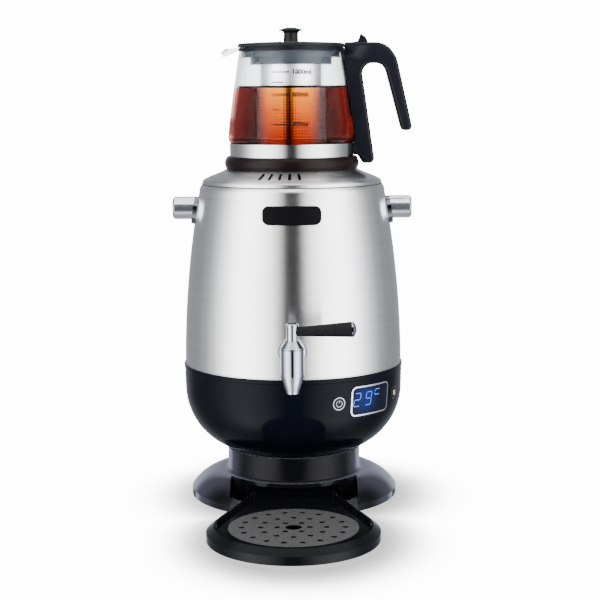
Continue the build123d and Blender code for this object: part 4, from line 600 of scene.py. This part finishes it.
def arc_radius(points, height):
    """Radius at a height on the arc through three (radius, height) points."""
    (ax, ay), (bx, by), (cx, cy) = points
    d = 2 * (ax * (by - cy) + bx * (cy - ay) + cx * (ay - by))
    a2, b2, c2 = ax * ax + ay * ay, bx * bx + by * by, cx * cx + cy * cy
    ux = (a2 * (by - cy) + b2 * (cy - ay) + c2 * (ay - by)) / d
    uy = (a2 * (cx - bx) + b2 * (ax - cx) + c2 * (bx - ax)) / d
    return ux + sqrt((ax - ux) ** 2 + (ay - uy) ** 2 - (height - uy) ** 2)


def on_front(x, z, radius):
    """The front point at x and z on an upright round face of this radius."""
    return (x, -sqrt(radius * radius - x * x), z)


def on_shell(x, z, proud):
    """A point on the steel shell's front, x to the right, standing proud of it."""
    return on_front(x, z, arc_radius(SHELL_ARC, z) + proud)


def on_panel(azimuth):
    """A function that puts (x, z, proud) on the control panel's cone round an azimuth."""
    a = radians(azimuth)

    def place(x, z, proud):
        radius = PANEL_R + PANEL_SLOPE * (z - PANEL_Z) + proud
        out = sqrt(radius * radius - x * x)
        return (x * cos(a) + out * sin(a), x * sin(a) - out * cos(a), z)

    return place


def glass_cone(z):
    """The glass's outer radius at a height, where it is a cone."""
    (low_r, low_z), (top_r, top_z) = GLASS_LINE_LOW, GLASS_LINE_TOP
    return low_r + (top_r - low_r) * (z - low_z) / (top_z - low_z)


def strips(name, shapes, place, proud, thick, material, body):
    """Thin plates on a curved face. Each shape is a list of (x, low z, high z) columns."""
    verts, faces = [], []
    for columns in shapes:
        base = len(verts)
        for x, z_low, z_high in columns:
            verts += [place(x, z_low, proud), place(x, z_high, proud),
                      place(x, z_low, proud + thick), place(x, z_high, proud + thick)]
        last = len(columns) - 1
        for i in range(last):
            p, q = base + 4 * i, base + 4 * (i + 1)
            faces += [(p + 2, q + 2, q + 3, p + 3), (p, p + 1, q + 1, q),
                      (p, q, q + 2, p + 2), (p + 1, p + 3, q + 3, q + 1)]
        p, q = base, base + 4 * last
        faces += [(p, p + 2, p + 3, p + 1), (q, q + 1, q + 3, q + 2)]
    make_piece(name, verts, faces, material, body)


def round_rect_columns(z_mid, width, height, corner, steps=10, middle=14):
    """Columns of a rounded rectangle about x = 0."""
    half_w, half_h = width / 2, height / 2
    offsets = [half_w - corner + corner * sin(pi / 2 * k / steps) for k in range(steps + 1)]
    flat = half_w - corner
    xs = [-v for v in reversed(offsets)]
    xs += [-flat + 2 * flat * k / middle for k in range(1, middle)]
    xs += offsets
    columns = []
    for x in xs:
        over = max(0.0, abs(x) - flat)
        drop = corner - sqrt(max(0.0, corner * corner - over * over))
        reach = max(half_h - drop, 0.01)
        columns.append((x, z_mid - reach, z_mid + reach))
    return columns


def ribbon(name, outlines, place, proud, thick, material, body):
    """Thin raised shapes from flat polygons, a list of (x, z) loops, on a curved face."""
    verts, faces = [], []
    for loop in outlines:
        base, count = len(verts), len(loop)
        verts += [place(x, z, proud) for x, z in loop]
        verts += [place(x, z, proud + thick) for x, z in loop]
        faces.append(tuple(base + count + i for i in range(count)))
        faces.append(tuple(base + i for i in reversed(range(count))))
        for i in range(count):
            j = (i + 1) % count
            faces.append((base + i, base + j, base + count + j, base + count + i))
    make_piece(name, verts, faces, material, body)


def ring_loops(z_mid, r_in, r_out, start, sweep, steps):
    """Quads along part of a ring about x = 0, in degrees from the right, as (x, z) loops."""
    loops = []
    for k in range(steps):
        a, b = (radians(start + sweep * (k + d) / steps) for d in (0, 1))
        loops.append([(r * cos(t), z_mid + r * sin(t))
                      for r, t in ((r_in, a), (r_out, a), (r_out, b), (r_in, b))])
    return loops


# the bare name plate on the shell
PLATE_Z, PLATE_W, PLATE_H, PLATE_CORNER = 311.5, 60.0, 19.0, 6.5
PLATE_GAP, PLATE_T = 0.05, 0.7
strips("bare_plate", [round_rect_columns(PLATE_Z, PLATE_W, PLATE_H, PLATE_CORNER)],
       on_shell, PLATE_GAP, PLATE_T, plate_black, "boiler")

# bright hem where the shell meets the housing
HEM_Z, HEM_H, HEM_SLOPE, HEM_IN, HEM_OUT = 146.15, 1.1, 0.3, 0.3, 0.45
hem_r = SHELL_ARC[0][0]
lathe("shell_hem", [(hem_r - HEM_IN, HEM_Z), (hem_r + HEM_OUT, HEM_Z),
                    (hem_r + HEM_OUT, HEM_Z + HEM_H),
                    (hem_r - HEM_IN, HEM_Z + HEM_H + HEM_SLOPE)],
      silver_plate, "boiler", FINE_ROUND)

# painted shade: dark rings where the cover's edge sits on the shell and between the tap's body
# and its bonnet stand for the shade in these gaps
SHADE_RING_H = 0.8
COVER_SHADE_R, COVER_SHADE_Z, COVER_SHADE_W = 95.9, 338.0, 0.5
lathe("cover_shade_ring", box_profile(COVER_SHADE_R, COVER_SHADE_R + COVER_SHADE_W,
                                 COVER_SHADE_Z, COVER_SHADE_Z + SHADE_RING_H),
      rubber_and_shade_black, "tank_lid", FINE_ROUND)
TAP_Y, TAP_R, TAP_SHADE_Z, TAP_SHADE_IN, TAP_SHADE_OUT = -167.0, 11.5, 186.4, 0.3, 0.08
lathe("tap_shade_ring", box_profile(TAP_R - TAP_SHADE_IN, TAP_R + TAP_SHADE_OUT,
                               TAP_SHADE_Z, TAP_SHADE_Z + SHADE_RING_H),
      rubber_and_shade_black, "boiler", 64, centre_y=TAP_Y)

# ---------------------------------------------------------------- tea
# the gap to the glass, the tea's floor, its corner as (radius, height over the floor), the
# heights its side goes through, and the top of the glass's straight foot
TEA_GAP, TEA_FLOOR = 0.12, 369.6
TEA_CORNER = [(58.0, 0.0), (61.0, 1.0), (62.3, 3.5)]
TEA_HEIGHTS = (375, 381, 384, 387, 390, 394, 399, 404, 408, 416, 424, 432, TEA_LEVEL)
FOOT_R, FOOT_TOP = GLASS_BULGE[0][0], 381.5


def tea_side(z):
    """The tea's radius at a height, just inside the glass."""
    if z < FOOT_TOP:
        outside = FOOT_R
    elif z < GLASS_LINE_LOW[1]:
        outside = arc_radius(GLASS_BULGE, z)
    else:
        outside = glass_cone(z)
    return outside - GLASS_T - TEA_GAP


tea_profile = [(0.0, TEA_FLOOR)] + [(r, TEA_FLOOR + z) for r, z in TEA_CORNER]
tea_profile += [(tea_side(z), z) for z in TEA_HEIGHTS] + [(0.0, TEA_LEVEL)]
solid_lathe("tea", tea_profile, tea_mat, "teapot")
# the light stands just outside the infuser, a little below the tea's surface
CORE_R, CORE_T, CORE_BELOW = 35.2, 0.2, 0.3
lathe("tea_core", box_profile(CORE_R, CORE_R + CORE_T, CORE_FOOT / MM, TEA_LEVEL - CORE_BELOW),
      tea_core_mat, "teapot")
# the tea's edge climbs the glass: width, gap over the tea, and where its top lies
EDGE_W, EDGE_GAP, EDGE_LEAN, EDGE_H = 0.8, 0.02, 0.34, 2.3
edge_r = tea_side(TEA_LEVEL)
lathe("tea_edge", [(edge_r - EDGE_W, TEA_LEVEL + EDGE_GAP), (edge_r, TEA_LEVEL + EDGE_GAP),
                   (edge_r - EDGE_LEAN, TEA_LEVEL + EDGE_H)],
      seat_brown, "teapot")

# ---------------------------------------------------------------- volume scale on the glass
MARK_GAP, MARK_T, MARK_HALF, MARK_PIECES = 0.18, 0.05, 0.6, 6
# height of each mark, its two ends and its number
marks = {455.0: (-19.5, -0.8, "1000ml"), 444.5: (-19.5, -7.5, ""), 432.0: (-19.5, -0.8, "600ml"),
         417.0: (-18.5, -11.5, ""), 402.0: (-18.5, -2.0, "300ml")}
mark_shapes = []
for z, (x_low, x_high, text) in marks.items():
    xs = [x_low + (x_high - x_low) * k / MARK_PIECES for k in range(MARK_PIECES + 1)]
    mark_shapes.append([(x, z - MARK_HALF, z + MARK_HALF) for x in xs])
# the bulge's upper part, as the scale's low marks follow it
SCALE_BULGE = [(67.4, 387.5), (66.8, 396.0), (65.4, 408.0)]


def on_pot(x, z, proud):
    """A point on the pot's front at any height of the scale."""
    radius = glass_cone(z) if z >= GLASS_LINE_LOW[1] else arc_radius(SCALE_BULGE, z)
    return on_front(x, z, radius + proud)


strips("scale_marks", mark_shapes, on_pot, MARK_GAP, MARK_T, mark_ink, "teapot")

LETTER_SIZE, LETTER_BOLD, LETTER_X, LETTER_DROP = 6.6, 0.32, 1.2, 2.0


def lettering(name, words, size, place, proud, thick, material, body):
    """Flat letters laid on a curved face. words is a list of (text, x, z) at the left."""
    verts, faces = [], []
    for text, x0, z0 in words:
        curve = bpy.data.curves.new(name, "FONT")
        curve.body = text
        curve.size = size
        curve.resolution_u = 3
        curve.offset = LETTER_BOLD
        temp = bpy.data.objects.new(name, curve)
        bpy.context.scene.collection.objects.link(temp)
        bpy.context.view_layer.update()
        flat = bpy.data.meshes.new_from_object(temp)
        bpy.data.objects.remove(temp)
        base = len(verts)
        verts += [place(x0 + v.co.x, z0 + v.co.y, proud + thick) for v in flat.vertices]
        faces += [tuple(base + i for i in p.vertices) for p in flat.polygons]
        bpy.data.meshes.remove(flat)
    make_piece(name, verts, faces, material, body)


numbers = [(text, LETTER_X, z - LETTER_DROP) for z, (_, _, text) in marks.items() if text]
lettering("scale_numbers", numbers, LETTER_SIZE, on_pot, MARK_GAP, MARK_T, mark_ink, "teapot")

# ---------------------------------------------------------------- display
DIGIT_W, DIGIT_H, SEGMENT = 7.4, 13.6, 0.95
DIGIT_SLANT, DIGIT_GAP, DIGIT_T = 0.12, 0.35, 0.04
# each sign's left, its height over the digits' foot, and its size
DIGIT_FOOT = PANEL_Z - 5.2
DIGITS = [("2", -23.6, 0.0, DIGIT_W, DIGIT_H), ("9", -8.6, 0.0, DIGIT_W, DIGIT_H),
          ("c", 4.6, 9.2, 7.6, 5.6)]
# what is printed or lit stands this far off the face under it
PRINT_GAP = 0.02
SEGMENTS = {"2": "abged", "9": "abcfgd", "c": "afed"}


def digit_loops(kind, x0, z0, width, height):
    """Seven segment strokes as (x, z) loops, slanted a little, from the lower left corner."""
    half, mid, gap = SEGMENT / 2, height / 2, DIGIT_GAP
    spans = {"a": ((0, height), (width, height)), "g": ((0, mid), (width, mid)),
             "d": ((0, 0), (width, 0)), "f": ((0, mid), (0, height)),
             "b": ((width, mid), (width, height)), "e": ((0, 0), (0, mid)),
             "c": ((width, 0), (width, mid))}
    loops = []
    for key in SEGMENTS[kind]:
        (xa, za), (xb, zb) = spans[key]
        if za == zb:
            pts = [(xa + gap, za), (xa + gap + half, za + half), (xb - gap - half, za + half),
                   (xb - gap, za), (xb - gap - half, za - half), (xa + gap + half, za - half)]
        else:
            pts = [(xa, za + gap), (xa + half, za + gap + half), (xa + half, zb - gap - half),
                   (xa, zb - gap), (xa - half, zb - gap - half), (xa - half, za + gap + half)]
        loops.append([(x0 + x + DIGIT_SLANT * z, z0 + z) for x, z in pts])
    return loops


place_display = on_panel(DISPLAY_AZ)
loops = []
for sign, left, raised, width, height in DIGITS:
    loops += digit_loops(sign, left, DIGIT_FOOT + raised, width, height)
ribbon("display_digits", loops, place_display, WINDOW_FACE + PRINT_GAP, DIGIT_T, digit_blue,
       "boiler")

# the halo's centre on the window, and how far out in metres it is full and gone
HALO_X, HALO_Z, HALO_FULL, HALO_END = -8.0, PANEL_Z + 2.0, 0.006, 0.0195


def halo(name):
    """The blue glow round the digits, fading to nothing at its edge."""
    mat, tree, shader = new_material(name)
    centre = [c * MM for c in place_display(HALO_X, HALO_Z, WINDOW_FACE)]
    distance = vector_maths(tree, "DISTANCE", coordinates(tree), centre)
    fade = spread(tree, distance, 1.0, 0.0, HALO_FULL, HALO_END)
    tree.links.new(colour_ramp(tree, fade, [(0.0, BLACK), (0.5, (0.0, 0.003, 0.035)),
                                            (1.0, (0.001, 0.010, 0.11))]),
                   shader.inputs["Emission Color"])
    shader.inputs["Emission Strength"].default_value = 1.0
    tree.links.new(colour_ramp(tree, fade, [(0.0, (0.004, 0.005, 0.010)),
                                            (1.0, (0.005, 0.008, 0.03))]),
                   shader.inputs["Base Color"])
    shader.inputs["Roughness"].default_value = 0.1
    shader.inputs["Specular IOR Level"].default_value = 0.02
    return mat


give(nodes["display_window"], halo("display_halo"))

# ---------------------------------------------------------------- button icons
ICON_T, STROKE = 0.05, 0.32
# the power sign: an open ring, from its start through its sweep in degrees, and a bar
POWER_IN, POWER_OUT, POWER_START, POWER_SWEEP, POWER_STEPS = 2.9, 3.5, 118, 304, 36
BAR_LOW, BAR_HIGH = BUTTON_Z + 1.0, BUTTON_Z + 4.2
power_loops = ring_loops(BUTTON_Z, POWER_IN, POWER_OUT, POWER_START, POWER_SWEEP, POWER_STEPS)
power_loops.append([(-STROKE, BAR_LOW), (STROKE, BAR_LOW), (STROKE, BAR_HIGH),
                    (-STROKE, BAR_HIGH)])
ribbon("power_icon", power_loops, on_panel(POWER_AZ), BUTTON_PROUD + PRINT_GAP, ICON_T,
       icon_white, "power_key")
# the steam sign: three waves
STEAM_H, STEAM_SWAY, STEAM_STEPS, STEAM_PITCH = 5.2, 0.55, 12, 1.9
warm_loops = []
for dx in (-STEAM_PITCH, 0.0, STEAM_PITCH):
    for k in range(STEAM_STEPS):
        z_a, z_b = (BUTTON_Z - STEAM_H / 2 + STEAM_H * (k + d) / STEAM_STEPS for d in (0, 1))
        x_a, x_b = (dx + STEAM_SWAY * sin(2 * pi * (k + d) / STEAM_STEPS) for d in (0, 1))
        warm_loops.append([(x_a - STROKE, z_a), (x_a + STROKE, z_a), (x_b + STROKE, z_b),
                           (x_b - STROKE, z_b)])
ribbon("keep_warm_icon", warm_loops, on_panel(WARM_AZ), BUTTON_PROUD + PRINT_GAP, ICON_T,
       icon_amber, "keep_warm_key")

# ---------------------------------------------------------------- floor, backdrop and light


def emissive(name, colour, strength):
    """A plain lit material for the studio."""
    mat = bpy.data.materials.new(name)
    mat.use_nodes = True
    tree = mat.node_tree
    tree.nodes.clear()
    lamp = tree.nodes.new("ShaderNodeEmission")
    lamp.inputs["Color"].default_value = (*colour, 1.0)
    lamp.inputs["Strength"].default_value = strength
    output = tree.nodes.new("ShaderNodeOutputMaterial")
    tree.links.new(lamp.outputs["Emission"], output.inputs["Surface"])
    return mat


def hide(obj, *rays):
    """Hides a studio piece from some kinds of ray."""
    for ray in rays:
        setattr(obj, "visible_" + ray, False)


# strengths of the white round the samovar and of the white seen through its glass, and sizes
# of the studio's pieces in metres
WHITE, WALL = 14.0, 4.6
BACKDROP_R, WALL_SIZE, WALL_PLACE, FLOOR_R = 4.0, 6.0, (0, 3.0, 0.8), 1.3
bpy.ops.mesh.primitive_uv_sphere_add(segments=48, ring_count=24, radius=BACKDROP_R)
backdrop = bpy.context.object
backdrop.name = "backdrop"
backdrop.data.materials.append(emissive("backdrop_white", WHOLE, WHITE))
hide(backdrop, "diffuse", "glossy", "shadow", "transmission")

# the white behind the samovar that is seen through its glass
bpy.ops.mesh.primitive_plane_add(size=WALL_SIZE, location=WALL_PLACE, rotation=(pi / 2, 0, 0))
white_wall = bpy.context.object
white_wall.name = "white_wall"
white_wall.data.materials.append(emissive("wall_white", (0.97, 0.98, 1.0), WALL))
hide(white_wall, "camera", "diffuse", "glossy", "shadow")

bpy.ops.mesh.primitive_circle_add(vertices=96, radius=FLOOR_R, fill_type="NGON")
floor = bpy.context.object
floor.name = "floor"
floor_mat = emissive("floor_white", WHOLE, WHITE)
floor.data.materials.append(floor_mat)
hide(floor, "glossy", "diffuse")

# the shade under the foot and the tray: (distance in metres, level); the tray's is squeezed
FOOT_PLACE, TRAY_PLACE, TRAY_SQUEEZE = (0.006, -0.010, 0.0), (0.004, -0.180, 0.0), 1.22
SHADE = [(0.0, 0.9), (0.105, 1.05), (0.118, 1.6), (0.132, 2.9), (0.148, 6.0), (0.165, 10.5),
         (0.19, WHITE)]
SHADE_REACH = SHADE[-1][0]


def distance_from(tree, place, squeeze=1.0):
    """Distance over the floor from a place, in metres, squeezed along X."""
    across = vector_maths(tree, "MULTIPLY", coordinates(tree), (squeeze, 1, 1))
    return vector_maths(tree, "DISTANCE", across, (place[0] * squeeze, place[1], place[2]))


tree = floor_mat.node_tree
nearest = maths(tree, "MINIMUM", distance_from(tree, FOOT_PLACE),
                distance_from(tree, TRAY_PLACE, TRAY_SQUEEZE))
shade = colour_ramp(tree, spread(tree, nearest, 0.0, 1.0, 0.0, SHADE_REACH),
                    [(far / SHADE_REACH, (level / WHITE,) * 3) for far, level in SHADE])
tree.links.new(shade, tree.nodes["Emission"].inputs["Color"])

# the studio that the metals mirror: degrees from the camera's side, and how bright it is there
STUDIO = [(0, 0.0), (7, 0.02), (11.5, 0.8), (17, 2.4), (26, 5.2), (38, 8.0), (55, 9.6),
          (68, 7.6), (80, 4.0), (92, 1.75), (104, 0.82), (120, 0.52), (140, 0.47), (180, 0.56)]
studio_peak = max(level for _, level in STUDIO)
# the stripe straight in front and its tint, and the tint that grows toward the back
DARK_STRIPE, DARK_TINT = 10, (0.5, 0.9, 1.4)
COOL_FROM, COOL_OVER, COOL_TINT = 55, 45, (-0.07, -0.015, 0.07)
# floor and ceiling, from straight down (0) to straight up (1), as shares of the peak
CEILING = [(0.0, 0.05), (0.10, 0.14), (0.30, 0.26), (0.70, 0.30), (0.88, 0.50), (1.0, 0.30)]
# heights of a direction between which the studio gives way to floor and ceiling: all round,
# and sooner in the sector straight in front
ALL_ROUND, AHEAD_UP, AHEAD_DOWN = (0.66, 0.90), (0.60, 0.80), (0.48, 0.72)
SECTOR = (12 / 180, 22 / 180)


def cool(level, angle):
    """A level of the studio's light, bluer at the dark middle, the sides and the back."""
    if angle < DARK_STRIPE:
        return tuple(level * tint for tint in DARK_TINT)
    share = min(1.0, max(0.0, (angle - COOL_FROM) / COOL_OVER))
    return tuple(level * (1 + tint * share) for tint in COOL_TINT)


world = bpy.data.worlds.new("studio")
bpy.context.scene.world = world
world.use_nodes = True
tree = world.node_tree
tree.nodes.clear()
way = coordinates(tree, "Generated")
_, ahead_y, _ = xyz(tree, vector_maths(tree, "NORMALIZE",
                                       vector_maths(tree, "MULTIPLY", way, (1, 1, 0))))
turned = maths(tree, "ARCCOSINE", maths(tree, "MULTIPLY", ahead_y, -1.0))
around = spread(tree, turned, 0.0, 1.0, 0.0, pi)
ring = colour_ramp(tree, around, [(angle / 180, cool(level / studio_peak, angle))
                                  for angle, level in STUDIO])
_, _, up = xyz(tree, way)
ceiling = colour_ramp(tree, spread(tree, up, 0.0, 1.0, -1.0, 1.0),
                      [(place, (level,) * 3) for place, level in CEILING])
high = spread(tree, up, 0.0, 1.0, *AHEAD_UP)
low = spread(tree, maths(tree, "MULTIPLY", up, -1.0), 0.0, 1.0, *AHEAD_DOWN)
ahead = maths(tree, "MULTIPLY", spread(tree, around, 1.0, 0.0, *SECTOR),
              maths(tree, "MAXIMUM", high, low))
steep = spread(tree, maths(tree, "ABSOLUTE", up), 0.0, 1.0, *ALL_ROUND)
light = blend(tree, "MIX", maths(tree, "MAXIMUM", steep, ahead), ring, ceiling)
background = tree.nodes.new("ShaderNodeBackground")
tree.links.new(light, background.inputs["Color"])
background.inputs["Strength"].default_value = studio_peak
output = tree.nodes.new("ShaderNodeOutputWorld")
tree.links.new(background.outputs["Background"], output.inputs["Surface"])

# ---------------------------------------------------------------- camera
# as found from the photograph's ellipses: lens in millimetres, place in metres, degrees
LENS, SENSOR = 88.8, 36.0
CAMERA_PLACE, CAMERA_DOWN, CAMERA_ROLL = (0.0078, -1.587, 0.4336), 7.96, -0.38
camera_data = bpy.data.cameras.new("camera")
camera_data.lens = LENS
camera_data.sensor_width = SENSOR
camera = bpy.data.objects.new("camera", camera_data)
bpy.context.scene.collection.objects.link(camera)
camera.location = CAMERA_PLACE
camera.rotation_euler = (Matrix.Rotation(radians(90 - CAMERA_DOWN), 3, "X")
                         @ Matrix.Rotation(radians(CAMERA_ROLL), 3, "Z")).to_euler()
bpy.context.scene.camera = camera

bpy.context.view_layer.update()
